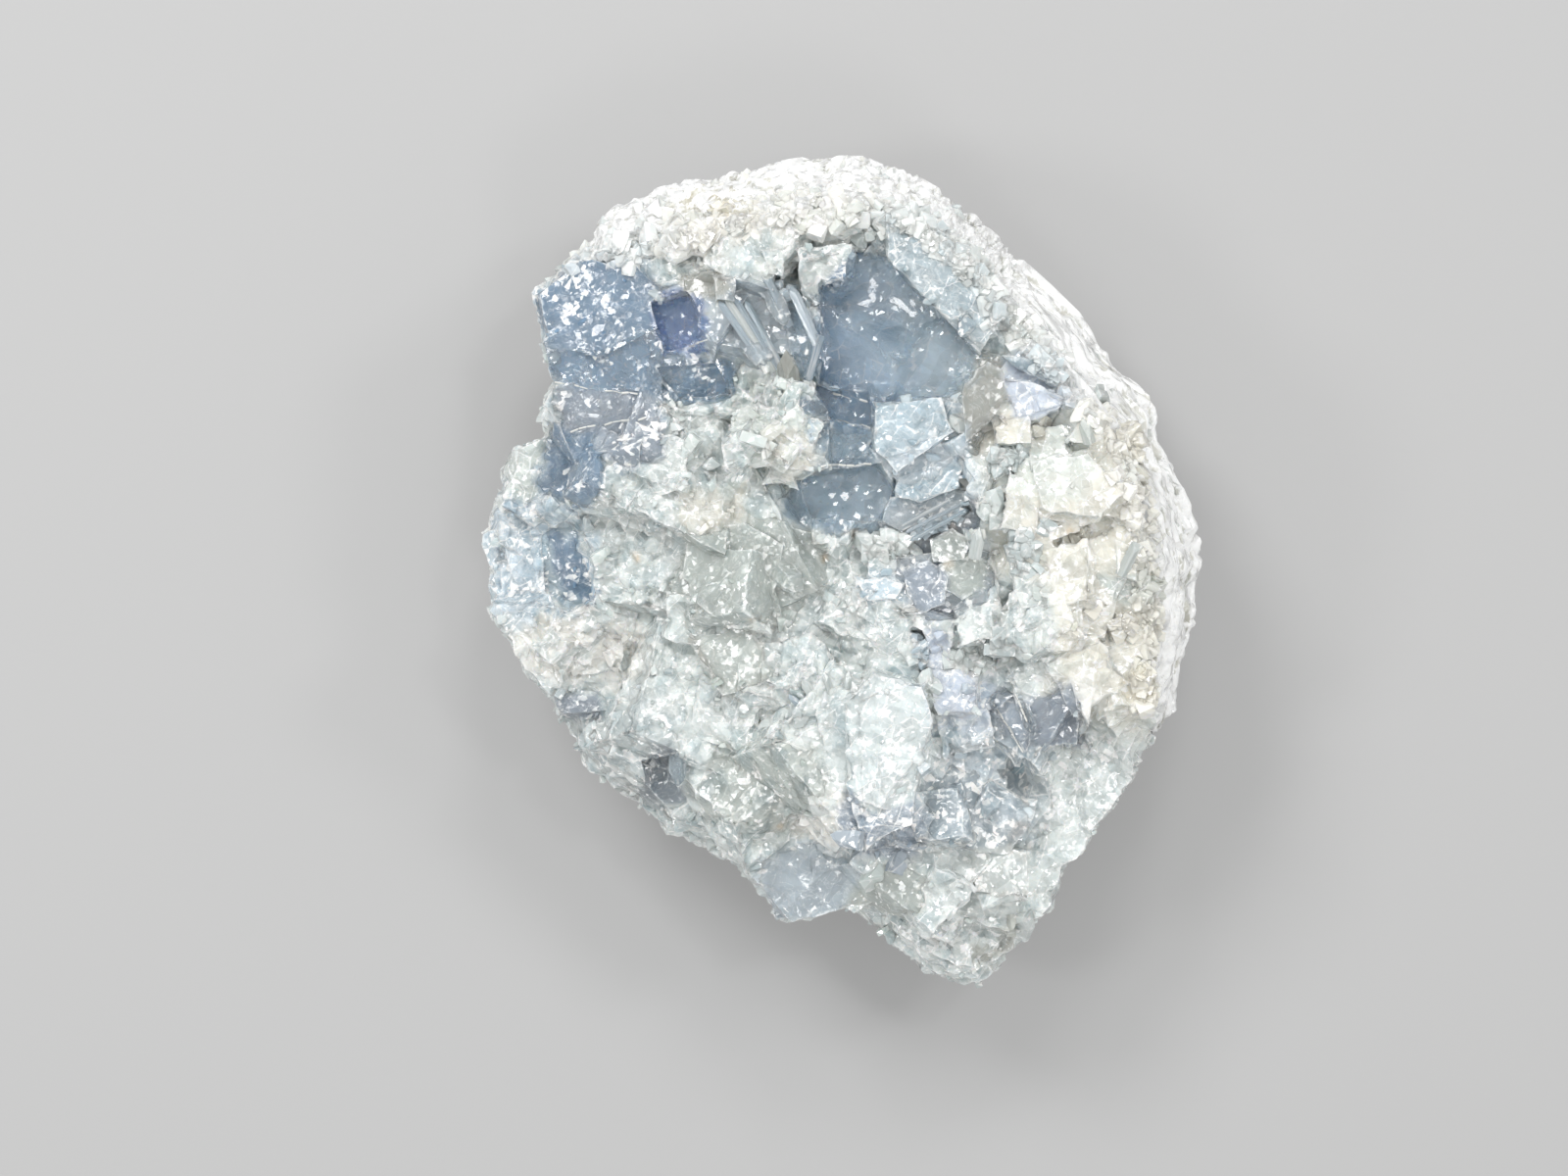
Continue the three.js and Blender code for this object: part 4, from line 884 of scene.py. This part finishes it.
def add_stage():
    """A plain pale floor, a soft sky and soft lamps."""
    bpy.ops.mesh.primitive_plane_add(size=16, location=(0, 0, -0.0002))
    floor = bpy.context.object
    floor.name = "floor"
    m = Maker("pale_floor")
    floor.data.materials.append(m.finish(m.principled(Base_Color=(0.36, 0.36, 0.36, 1), Roughness=0.7)))
    world = bpy.data.worlds.new("studio")
    world.use_nodes = True
    world.node_tree.nodes["Background"].inputs["Color"].default_value = (1.0, 1.0, 0.995, 1)
    world.node_tree.nodes["Background"].inputs["Strength"].default_value = 0.73
    bpy.context.scene.world = world
    # Name, place and width in metres, power in watts
    lamps = [
        ("key", (-0.25, 0.32, 0.5), 0.2, 1.6),
        ("left", (-0.36, -0.05, 0.5), 0.12, 0.5),
        ("top", (0.06, 0.42, 0.52), 0.14, 0.7),
        ("right", (0.36, 0.16, 0.5), 0.12, 0.5),
        ("near", (0.1, -0.3, 0.6), 0.12, 0.4),
        ("high", (0.16, 0.14, 0.62), 0.07, 0.35),
    ]
    for name, place, width, power in lamps:
        light = bpy.data.lights.new(name, "AREA")
        light.shape, light.size, light.energy = "DISK", width, power
        lamp = bpy.data.objects.new(name, light)
        lamp.location = place
        lamp.rotation_euler = (Vector((0, 0, 0.02)) - Vector(place)).to_track_quat("-Z", "Y").to_euler()
        bpy.context.scene.collection.objects.link(lamp)


add_camera()
add_stage()
bpy.context.scene.view_settings.view_transform = "Standard"
bpy.context.scene.view_settings.gamma = GAMMA

# Light that has bounced more often than this adds next to nothing
cycles = bpy.context.scene.cycles
cycles.max_bounces = 8
cycles.diffuse_bounces = 3
cycles.transmission_bounces = 6

MATERIALS = {
    "body": crystal_body_material(),
    "clear": clear_crystal_material(),
    "sugar": sugar_material(),
    "blade": blade_material(),
    "rind": rind_material(),
}


def stone_tree():
    """All CAD triangles as one search tree, with their corners, normals, areas and solid, 0 for the wall."""
    corners, owner = [], []
    for number, name in enumerate(("rind", "crystal_mass")):
        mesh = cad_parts[name].data
        places = vertex_array(mesh.vertices)
        mesh.calc_loop_triangles()
        index = np.zeros(len(mesh.loop_triangles) * 3, np.int32)
        mesh.loop_triangles.foreach_get("vertices", index)
        corners.append(places[index].reshape(-1, 3, 3))
        owner.append(np.full(len(mesh.loop_triangles), number))
    corners, owner = np.concatenate(corners), np.concatenate(owner)
    cross = np.cross(corners[:, 1] - corners[:, 0], corners[:, 2] - corners[:, 0])
    area = np.linalg.norm(cross, axis=1) / 2
    normals = cross / np.maximum(area * 2, 1e-12)[:, None]
    flat = [Vector(point) for point in corners.reshape(-1, 3)]
    faces = [(3 * n, 3 * n + 1, 3 * n + 2) for n in range(len(corners))]
    return BVHTree.FromPolygons(flat, faces), corners, normals, area, owner


TREE, CORNERS, NORMALS, AREAS, OWNER = stone_tree()


def depth_behind(places, normals, most):
    """How far a solid goes on behind each place, up to a limit."""
    depths = np.full(len(places), most)
    for n, (place, normal) in enumerate(zip(places, normals)):
        inward = -Vector(normal)
        hit = TREE.ray_cast(Vector(place) + inward * 0.05 * MM, inward, most)
        if hit[0] is not None:
            depths[n] = hit[3]
    return depths


def hollowness(mesh, places):
    """How far each place lies below the middle height of the places round it, in metres."""
    return np.clip(spread(mesh, places[:, 2], 45) - places[:, 2] - 0.3 * MM, 0, 4 * MM)


def fill_hollows(mesh, places, clear, facing):
    """Raises the deep hollows of the front, which small crystals fill; returns how far, in metres."""
    hollow = hollowness(mesh, places) * (places[:, 2] > FILLED_FROM * MM) * facing
    hollow = spread(mesh, hollow * (1 - smooth(clear, 0.6, 0.8)), 2)
    places[:, 2] += 0.85 * hollow
    return hollow


def close_right_mass(mesh, places, clear, facing):
    """Raises the gaps between the right mass's crystals until they are nearly level with them."""
    columns, rows = seen_at(places).T
    left, top, bottom = RIGHT_MASS
    merged = smooth(columns, *left) * smooth(rows, *top) * smooth(rows, *bottom)
    merged *= (1 - smooth(clear, 0.45, 0.6)) * facing
    merged *= smooth(places[:, 2] / MM, FILLED_FROM - 4, FILLED_FROM)
    for rounds in (30, 10):
        raised = np.clip(spread(mesh, places[:, 2], rounds) + 0.25 * MM - places[:, 2], 0, 3 * MM)
        places[:, 2] += 0.9 * spread(mesh, raised * merged, 1)


def body_piece():
    """The grown-together mass itself: crystal relief where it is sugary, sunk deep under clear faces."""
    obj = refined_copy("crystal_mass", "crystal_body", 0.75 * MM, 1.5 * MM)
    mesh = obj.data
    places, normals = vertex_array(mesh.vertices), vertex_array(mesh.vertex_normals, "vector")
    tint, sugar, clear = zone_values(places, normals)
    edge = sharp_edges(mesh, 30)
    coarse, shade = crystal_relief(places, 3.4 * MM, 41)
    fine, fine_shade = crystal_relief(places, 1.6 * MM, 42)
    rough = smooth(sugar, 0.05, 0.6)
    relief = ((coarse - 0.75 * MM) * 0.4 + (fine - 0.35 * MM) * 0.45) * rough
    sunk = np.minimum(2.6 * MM * smooth(clear, 0.4, 0.8), depth_behind(places, normals, 7 * MM) * 0.4)
    sunk = spread(mesh, sunk, 4)
    facing, free = facing_up(normals), above(places, SEAT_TOP, 2)
    soft = unit(spread(mesh, normals, 6))
    grown = normals * (np.minimum(relief, 0.4 * MM) - 0.1 * MM)[:, None]
    places += (grown - soft * sunk[:, None]) * free[:, None]
    chips = chipped(places, soft) * (1 - smooth(clear, 0.6, 0.8))[:, None]
    hollow = fill_hollows(mesh, places, clear, facing)
    close_right_mass(mesh, places, clear, facing)
    places = blend(places, spread(mesh, places, 5), smooth(clear, 0.45, 0.7) * free)
    panes = smooth(inside(seen_at(places), PANES), 0, 8) * facing
    places = blend(places, spread(mesh, places, 16), panes)
    shape_mesh(mesh, places + chips)
    # Painted light: the tint is made up to 35 % lighter in the filled hollows, where shade falls between
    # crystals, and lighter under clear crystal
    lighter = 1 + 0.35 * np.clip(hollow / (1.5 * MM), 0, 1)[:, None]
    set_point_values(mesh, tint=np.minimum(under_glass(tint, clear) * lighter, LIGHTEST), sugar=sugar,
                     shade=0.5 * shade + 0.5 * fine_shade, edge=edge, sparkle=sparkle_values(places) * facing)
    mesh.materials.append(MATERIALS["body"])
    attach(obj, "root")
    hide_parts("crystal_mass")


def clear_piece():
    """The clear faces: see-through crystal over the cloudy body, which hides it where it is sugary."""
    obj = refined_copy("crystal_mass", "clear_crystal", 1.0 * MM, 2.0 * MM)
    mesh = obj.data
    places, normals = vertex_array(mesh.vertices), vertex_array(mesh.vertex_normals, "vector")
    tint, sugar, clear = zone_values(places, normals)
    edge = sharp_edges(mesh, 30)
    facing, free = facing_up(normals), above(places, SEAT_TOP, 2)
    hidden = 1.8 * MM * (1 - smooth(clear, 0.3, 0.48))
    hidden = np.minimum(hidden, depth_behind(places, normals, 7 * MM) * 0.35)
    hidden = spread(mesh, hidden, 1)
    panes = smooth(inside(seen_at(places), PANES), 3, 12) * facing
    places = blend(places, spread(mesh, places, 14), panes)
    edge = edge * (1 - panes)
    soft = unit(spread(mesh, normals, 4))
    chips = chipped(places, soft) * (1 - panes * smooth(inside(seen_at(places), PANES), 6, 14))[:, None]
    places += normals * ((-0.1 * MM - hidden) * free)[:, None]
    shape_mesh(mesh, places + chips * 0.7)
    set_point_values(mesh, sugar=sugar, tint=tint, edge=edge, sparkle=sparkle_values(places) * facing,
                     frost=1 - clear)
    mesh.materials.append(MATERIALS["clear"])
    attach(obj, "root")


def sharp_edges(mesh, degrees):
    """1 for each vertex on an edge that turns sharply outwards, else 0."""
    marks = np.zeros(len(mesh.vertices))
    work = bmesh.new()
    work.from_mesh(mesh)
    for edge in work.edges:
        if edge.is_manifold and edge.calc_face_angle_signed() > math.radians(degrees):
            marks[edge.verts[0].index] = marks[edge.verts[1].index] = 1
    work.free()
    return marks


def rim_places(places):
    """Coordinates in which the wall's streaks are round: along the rim, shortened, outwards and up."""
    radius, shortened = 45 * MM, 3.2
    angle = (np.arctan2(places[:, 1], places[:, 0]) + math.radians(120)) % (2 * math.pi)
    outwards = np.hypot(places[:, 0], places[:, 1])
    return np.stack([angle * radius / shortened, outwards, places[:, 2]], 1)


def bearing(places):
    """The angle round the part's middle at which each place lies, in degrees from the photograph's right."""
    return np.degrees(np.arctan2(places[:, 1], places[:, 0]))


def crusted(places):
    """1 along the upper left part of the rim, where the wall is crusted like the crystals, else 0."""
    return smooth(bearing(places), *CRUST_BEARINGS)


def rim_stain(places):
    """1 where iron has stained the crust at the top, else 0."""
    pixels = seen_at(places) + 6 * ripples(places, 3 * MM, 29, 30)
    offset = (pixels - CRUST_STAIN[:2]) / CRUST_STAIN[2:]
    return 1 - smooth(offset[:, 0] ** 2 + offset[:, 1] ** 2, 0.3, 1.4)


def rim_tint(places):
    """The wall's own colour: white, with cream at the top and beige-grey at the lower right end."""
    degrees = bearing(places)
    top = smooth(ripple(places, 4 * MM, 27), -0.5, 0.5)
    for bearings in CREAM_BEARINGS:
        top = top * smooth(degrees, *bearings)
    low = smooth(degrees, *BEIGE_BEARINGS)
    blotch = smooth(ripple(places, 5 * MM, 28), 0.1, 0.9)
    names = ("white", "cream", "smoke", "mist", "sand")
    white, cream, smoke, mist, sand = (linear(PALETTE[name]) for name in names)
    tint = blend(white, cream, 0.2 + 0.8 * top)
    tint = blend(tint, mist, 0.5 * blotch)
    tint = blend(tint, 0.5 * (cream + smoke), 0.7 * low)
    return blend(tint, sand, 0.8 * rim_stain(places))


def rind_piece():
    """The geode's wall: streaky ridges that run along the rim, and a lumpy back."""
    obj = refined_copy("rind", "rind_skin", 0.5 * MM, 1.1 * MM)
    mesh = obj.data
    places, normals = vertex_array(mesh.vertices), vertex_array(mesh.vertex_normals, "vector")
    warped = rim_places(places) + 0.5 * MM * ripples(places, 5 * MM, 81, 82, 83)
    warped = blend(warped, places, crusted(places))
    streaks = crystal_relief(warped, 1.35 * MM, 84)[0] / (1.35 * MM)
    broad = crystal_relief(warped * [0.7, 1, 1], 3.6 * MM, 85)[0] / (3.6 * MM)
    crest = 0.65 * smooth(streaks, 0.0, 0.34) + 0.35 * smooth(broad, 0.0, 0.34)
    lumps = ripple(places, 9 * MM, 23) * 0.16 + ripple(places, 3 * MM, 24) * 0.1
    height = (streaks - 0.2) * 1.1 + (broad - 0.2) * 1.6 + lumps - 0.12
    places += normals * (np.minimum(height, 0.25) * above(places, 0, 3) * MM)[:, None]
    places[:, 2] = np.where(places[:, 2] < 0.2 * MM, 0, places[:, 2])
    shape_mesh(mesh, places)
    crust = crusted(places)
    cloudy = smooth(ripple(places, 4.5 * MM, 86), 0.0, 0.7) * crust
    set_point_values(mesh, rim=warped, crest=crest * (1 - 0.7 * np.maximum(rim_stain(places), cloudy)),
                     crust=crust, tint=rim_tint(places))
    mesh.materials.append(MATERIALS["rind"])
    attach(obj, "root")
    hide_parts("rind")


def cut_crystal(stretch, cuts):
    """The corners and triangles of a block with sides and corners cut away by planes."""
    bpy.ops.object.select_all(action="DESELECT")
    bpy.ops.mesh.primitive_cube_add(size=1)
    cube = bpy.context.object
    bpy.ops.object.mode_set(mode="EDIT")
    bpy.ops.transform.resize(value=stretch)
    for place, way in cuts:
        bpy.ops.mesh.select_all(action="SELECT")
        bpy.ops.mesh.bisect(plane_co=place, plane_no=way, use_fill=True, clear_outer=True)
    bpy.ops.mesh.select_all(action="SELECT")
    bpy.ops.mesh.quads_convert_to_tris()
    bpy.ops.mesh.normals_make_consistent(inside=False)
    bpy.ops.object.mode_set(mode="OBJECT")
    corners = vertex_array(cube.data.vertices)
    faces = np.array([tuple(polygon.vertices) for polygon in cube.data.polygons])
    bpy.data.objects.remove(cube)
    return corners, faces


def master_crystals():
    """A few small crystals with bevelled sides and chisel tips."""
    rng = random.Random(5)
    masters = []
    for _ in range(7):
        stretch = (1.0, rng.uniform(0.65, 0.95), rng.uniform(1.1, 1.7))
        tip = stretch[2] / 2
        cuts = [((0, 0, tip * 0.99), (1, 0.15 * rng.uniform(-1, 1), rng.uniform(0.6, 1.2))),
                ((0, 0, tip * 0.99), (-1, 0.15 * rng.uniform(-1, 1), rng.uniform(0.6, 1.2)))]
        for turn in range(4):
            angle = math.radians(45 + 90 * turn + rng.uniform(-12, 12))
            way = (math.cos(angle), math.sin(angle), rng.uniform(0, 0.35))
            reach = rng.uniform(0.42, 0.56)
            cuts.append(((way[0] * reach, way[1] * reach, 0), way))
        masters.append(cut_crystal(stretch, cuts))
    return masters


MASTERS = master_crystals()


def turned_frames(directions, rolls):
    """A rotation matrix for each crystal, from its direction and its roll."""
    up = unit(directions)
    helper = np.where(np.abs(up[:, 2:3]) < 0.9, [[0.0, 0.0, 1.0]], [[1.0, 0.0, 0.0]])
    side = unit(np.cross(helper, up))
    other = np.cross(up, side)
    c, s = np.cos(rolls)[:, None], np.sin(rolls)[:, None]
    return np.stack([side * c + other * s, other * c - side * s, up], 2)


def strewn_piece(name, places, directions, sizes, tints, frosts, rng):
    """Small crystals joined into one piece: each place gets a copy of one of the masters."""
    tints = np.clip(tints, 0, LIGHTEST)
    kinds = rng.integers(0, len(MASTERS), len(places))
    frames = turned_frames(directions, rng.uniform(0, 2 * math.pi, len(places)))
    vertices, faces, tint_list, frost_list, start = [], [], [], [], 0
    for kind, (corners, triangles) in enumerate(MASTERS):
        chosen = np.flatnonzero(kinds == kind)
        if not len(chosen):
            continue
        local = corners[None] * sizes[chosen][:, None, None]
        world = np.einsum("nij,nvj->nvi", frames[chosen], local) + places[chosen][:, None]
        vertices.append(world.reshape(-1, 3))
        offsets = start + np.arange(len(chosen)) * len(corners)
        faces.append((triangles[None] + offsets[:, None, None]).reshape(-1, 3))
        tint_list.append(np.repeat(tints[chosen], len(corners), 0))
        frost_list.append(np.repeat(frosts[chosen], len(corners)))
        start += len(chosen) * len(corners)
    low, high = np.array(cad_box)
    vertices = np.clip(np.concatenate(vertices), low + INSET, high - INSET)
    obj = mesh_object(name, vertices.tolist(), np.concatenate(faces).tolist(), MATERIALS["sugar"])
    set_point_values(obj.data, tint=np.concatenate(tint_list), frost=np.concatenate(frost_list))
    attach(obj, "root")


def hairline_crystals(rng):
    """The hairlines as thin white crystals laid end to end on the stone, with a few left out."""
    crystals, spacing = [], 9
    for line in HAIRLINES:
        first, last = np.array(line, float)
        steps = max(2, round(np.linalg.norm(last - first) / spacing))
        bend = np.array([[0, rng.uniform(-1.5, 1.5)] for _ in range(steps + 1)])
        places = spots_seen_at(first + (last - first) * np.linspace(0, 1, steps + 1)[:, None] + bend)[0]
        for here, there in zip(places[:-1], places[1:]):
            if rng.random() < 0.85:
                width = rng.uniform(0.12, 0.3)
                crystals.append((Vector(there), Vector(here), width, width, "point", "white", 1.0))
    return crystals


def long_crystal(length, width, thickness, shape, rng):
    """One long crystal's corners in millimetres and triangles: its tip cut to a shape, its edges cut off."""
    cuts = [((rng.uniform(-0.1, 0.1) * width, 0, length / 2 * 0.99), way) for way in TIPS[shape]]
    for turn in range(4):
        angle = math.radians(45 + 90 * turn + rng.uniform(-14, 14))
        way = (math.cos(angle) / width, math.sin(angle) / thickness, 0)
        place = (0.36 * width * math.cos(angle), 0.36 * thickness * math.sin(angle), 0)
        cuts.append((place, way))
    return cut_crystal((width, thickness, length), cuts)


def long_crystal_piece():
    """The long crystals that stand out, each cut to its own tip, and the hairlines."""
    rng = random.Random(9)
    vertices, faces, tints, frosts, grains, start = [], [], [], [], [], 0
    crystals = [(sight(*tip), sight(*root), *rest) for tip, root, *rest in LONG_CRYSTALS]
    crystals += hairline_crystals(rng)
    for tip, root, width, thickness, shape, tint, frost in crystals:
        length = (tip - root).length / MM
        corners, triangles = long_crystal(length, width, thickness, shape, rng)
        turn = turned_frames(np.array([tip - root]), np.array([rng.uniform(-0.3, 0.3) + math.pi / 2]))[0]
        middle = np.array((tip + root) / 2)
        vertices.append((corners * MM) @ turn.T + middle)
        faces.append(triangles + start)
        start += len(corners)
        shade = rng.uniform(0.95, 1.12)
        tints.append(np.minimum(np.tile(linear(PALETTE[tint]) * shade, (len(corners), 1)), LIGHTEST))
        frosts.append(np.full(len(corners), frost))
        grains.append(corners * MM * [1, 1, 0.06] + rng.uniform(0, 1))
    obj = mesh_object("long_crystals", np.concatenate(vertices).tolist(), np.concatenate(faces).tolist(),
                      MATERIALS["blade"])
    set_point_values(obj.data, tint=np.concatenate(tints), frost=np.concatenate(frosts),
                     grain=np.concatenate(grains))
    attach(obj, "root")


def surface_spots(count, rng, owner=1):
    """Random places on one CAD solid's faces above the wall's seat, with their normals."""
    lowest = 9.6 * MM
    weights = AREAS * ((OWNER == owner) & (CORNERS[:, :, 2].min(1) > lowest))
    chosen = rng.choice(len(AREAS), count, p=weights / weights.sum())
    a, b = rng.uniform(size=(2, count))
    flip = a + b > 1
    a, b = np.where(flip, 1 - a, a), np.where(flip, 1 - b, b)
    first, second, third = np.moveaxis(CORNERS[chosen], 1, 0)
    return first + (second - first) * a[:, None] + (third - first) * b[:, None], NORMALS[chosen]


def exposed(places, normals):
    """True where nothing lies close in front of a place."""
    free = np.zeros(len(places), bool)
    for n, (place, normal) in enumerate(zip(places, normals)):
        start = Vector(place) + Vector(normal) * 0.3 * MM
        free[n] = TREE.ray_cast(start, Vector(normal), 6 * MM)[0] is None
    return free


def hit_at(pixel):
    """The place, normal, triangle and distance of the stone that one of the photograph's pixels shows."""
    return TREE.ray_cast(EYE_PLACE, (sight(*pixel, OUTLINE_HEIGHT) - EYE_PLACE).normalized())


def spots_seen_at(pixels):
    """The places and normals of the stone that the photograph's pixels show, where they do."""
    hits = [hit for hit in map(hit_at, pixels) if hit[0] is not None]
    return np.array([hit[0] for hit in hits]), np.array([hit[1] for hit in hits])


def seam_pixels():
    """The photograph's pixels where the crystals meet the wall's rim."""
    seam = []
    for degrees in np.arange(*SEAM_ANGLES, 0.75):
        angle = math.radians(degrees)
        for reach in range(*SEAM_REACH, -3):
            pixel = SEAM_CENTRE[0] + reach * math.cos(angle), SEAM_CENTRE[1] - reach * math.sin(angle)
            index = hit_at(pixel)[2]
            if index is not None and OWNER[index] == 1:
                seam.append(pixel)
                break
    return np.array(seam)


def rim_pieces():
    """White grains along the seam where the crystals meet the wall's rim, and on the rim's crust."""
    rng = np.random.default_rng(37)
    # Grains on the seam, how far they stray from it in pixels, and grains tried for on the crust
    on_seam, seam_width, tried = 1500, 4.5, 26000
    line = seam_pixels()
    seam = line[rng.integers(0, len(line), on_seam)] + rng.normal(size=(on_seam, 2)) * seam_width
    places, normals = spots_seen_at(seam)
    crust_places, crust_normals = surface_spots(tried, rng, owner=0)
    patch = np.clip(0.3 + 0.6 * ripple(crust_places, 4 * MM, 62), 0.04, 1)
    shows = (crust_normals[:, 2] > -0.1) & (rng.uniform(size=tried) < 0.07 * patch * crusted(crust_places))
    shows &= exposed(crust_places, crust_normals)
    places = np.concatenate([places, crust_places[shows]])
    normals = np.concatenate([normals, crust_normals[shows]])
    number = len(places)
    sizes = rng.uniform(0.45, 1.0, number) ** 1.5 * 2.1 * MM
    tints = 0.5 * rim_tint(places) + 0.5 * zone_values(places, normals)[0]
    # Painted light: the grains are made 15 to 50 % lighter, against the shade that falls between and on them
    tints = tints * rng.uniform(1.15, 1.5, (number, 1))
    directions = normals * 0.6 + rng.normal(size=(number, 3)) * 0.6
    strewn_piece("seam_grains", places - normals * sizes[:, None] * 0.4, directions, sizes, tints,
                 rng.uniform(0.85, 1, number), rng)


def filling_piece():
    """Clusters of small crystals that close the deepest gaps between the large ones."""
    rng = np.random.default_rng(53)
    places, tints = [], []
    turns = np.linspace(0, 2 * math.pi, 16, endpoint=False)
    circle = 1.6 * np.stack([np.cos(turns), np.sin(turns)], 1)
    for column, row, across, down, count, tint in FILLINGS:
        ring = spots_seen_at(circle * [across, down] + [column, row])[0]
        top = np.percentile(ring[:, 2], 60) / MM - 0.5
        for _ in range(round(0.45 * count)):
            angle, reach = rng.uniform(0, 2 * math.pi), math.sqrt(rng.uniform())
            pixel = column + across * reach * math.cos(angle), row + down * reach * math.sin(angle)
            level = top - 0.6 - 0.8 * reach**2 + rng.normal() * 0.25
            if spots_seen_at([pixel])[0][0, 2] < level * MM:
                places.append(np.array(sight(*pixel, level)))
                tints.append(linear(PALETTE[tint]) * rng.uniform(0.92, 1.12))
    number = len(places)
    directions = rng.normal(size=(number, 3)) * 0.6 + [0, 0, 1]
    strewn_piece("gap_crystals", np.array(places), directions, rng.uniform(0.9, 2.3, number) * MM, tints,
                 rng.uniform(0.85, 1, number), rng)


def druse_pieces():
    """Sugary crusts: thousands of small crystals where the zones say so."""
    rng = np.random.default_rng(31)
    # Name, how many are tried for, smallest and largest in millimetres, how many of them stay
    kinds = [
        ("sugar_fine", 9000, 0.4, 0.8, 0.55),
        ("sugar_medium", 3600, 0.8, 1.6, 0.42),
        ("sugar_coarse", 900, 1.6, 2.8, 0.4),
    ]
    for name, count, smallest, largest, share in kinds:
        places, normals = surface_spots(count, rng)
        tint, sugar, clear = zone_values(places, normals)
        patch = 0.62 + 0.55 * ripple(places, 3.5 * MM, 61)
        chosen = rng.uniform(size=count) < sugar**1.5 * share * np.clip(patch, 0.05, 1)
        if name == "sugar_coarse":
            chosen &= normals[:, 2] > 0.3
        chosen &= exposed(places, normals)
        places, normals, tint, clear = places[chosen], normals[chosen], tint[chosen], clear[chosen]
        number = len(places)
        sizes = smallest * (largest / smallest) ** (rng.uniform(size=number) ** 1.4) * MM
        directions = normals + rng.normal(size=(number, 3)) * 0.9
        places = places + normals * (rng.uniform(-0.55, -0.25, number) * sizes)[:, None]
        bright = rng.uniform(0.96, 1.14, (number, 1)) + rng.normal(size=(number, 3)) * 0.01
        frosts = np.clip(1 - clear * 0.3 + rng.normal(size=number) * 0.08, 0.75, 1)
        strewn_piece(name, places, directions, sizes, tint * bright, frosts, rng)


body_piece()
clear_piece()
rind_piece()
druse_pieces()
rim_pieces()
filling_piece()
long_crystal_piece()
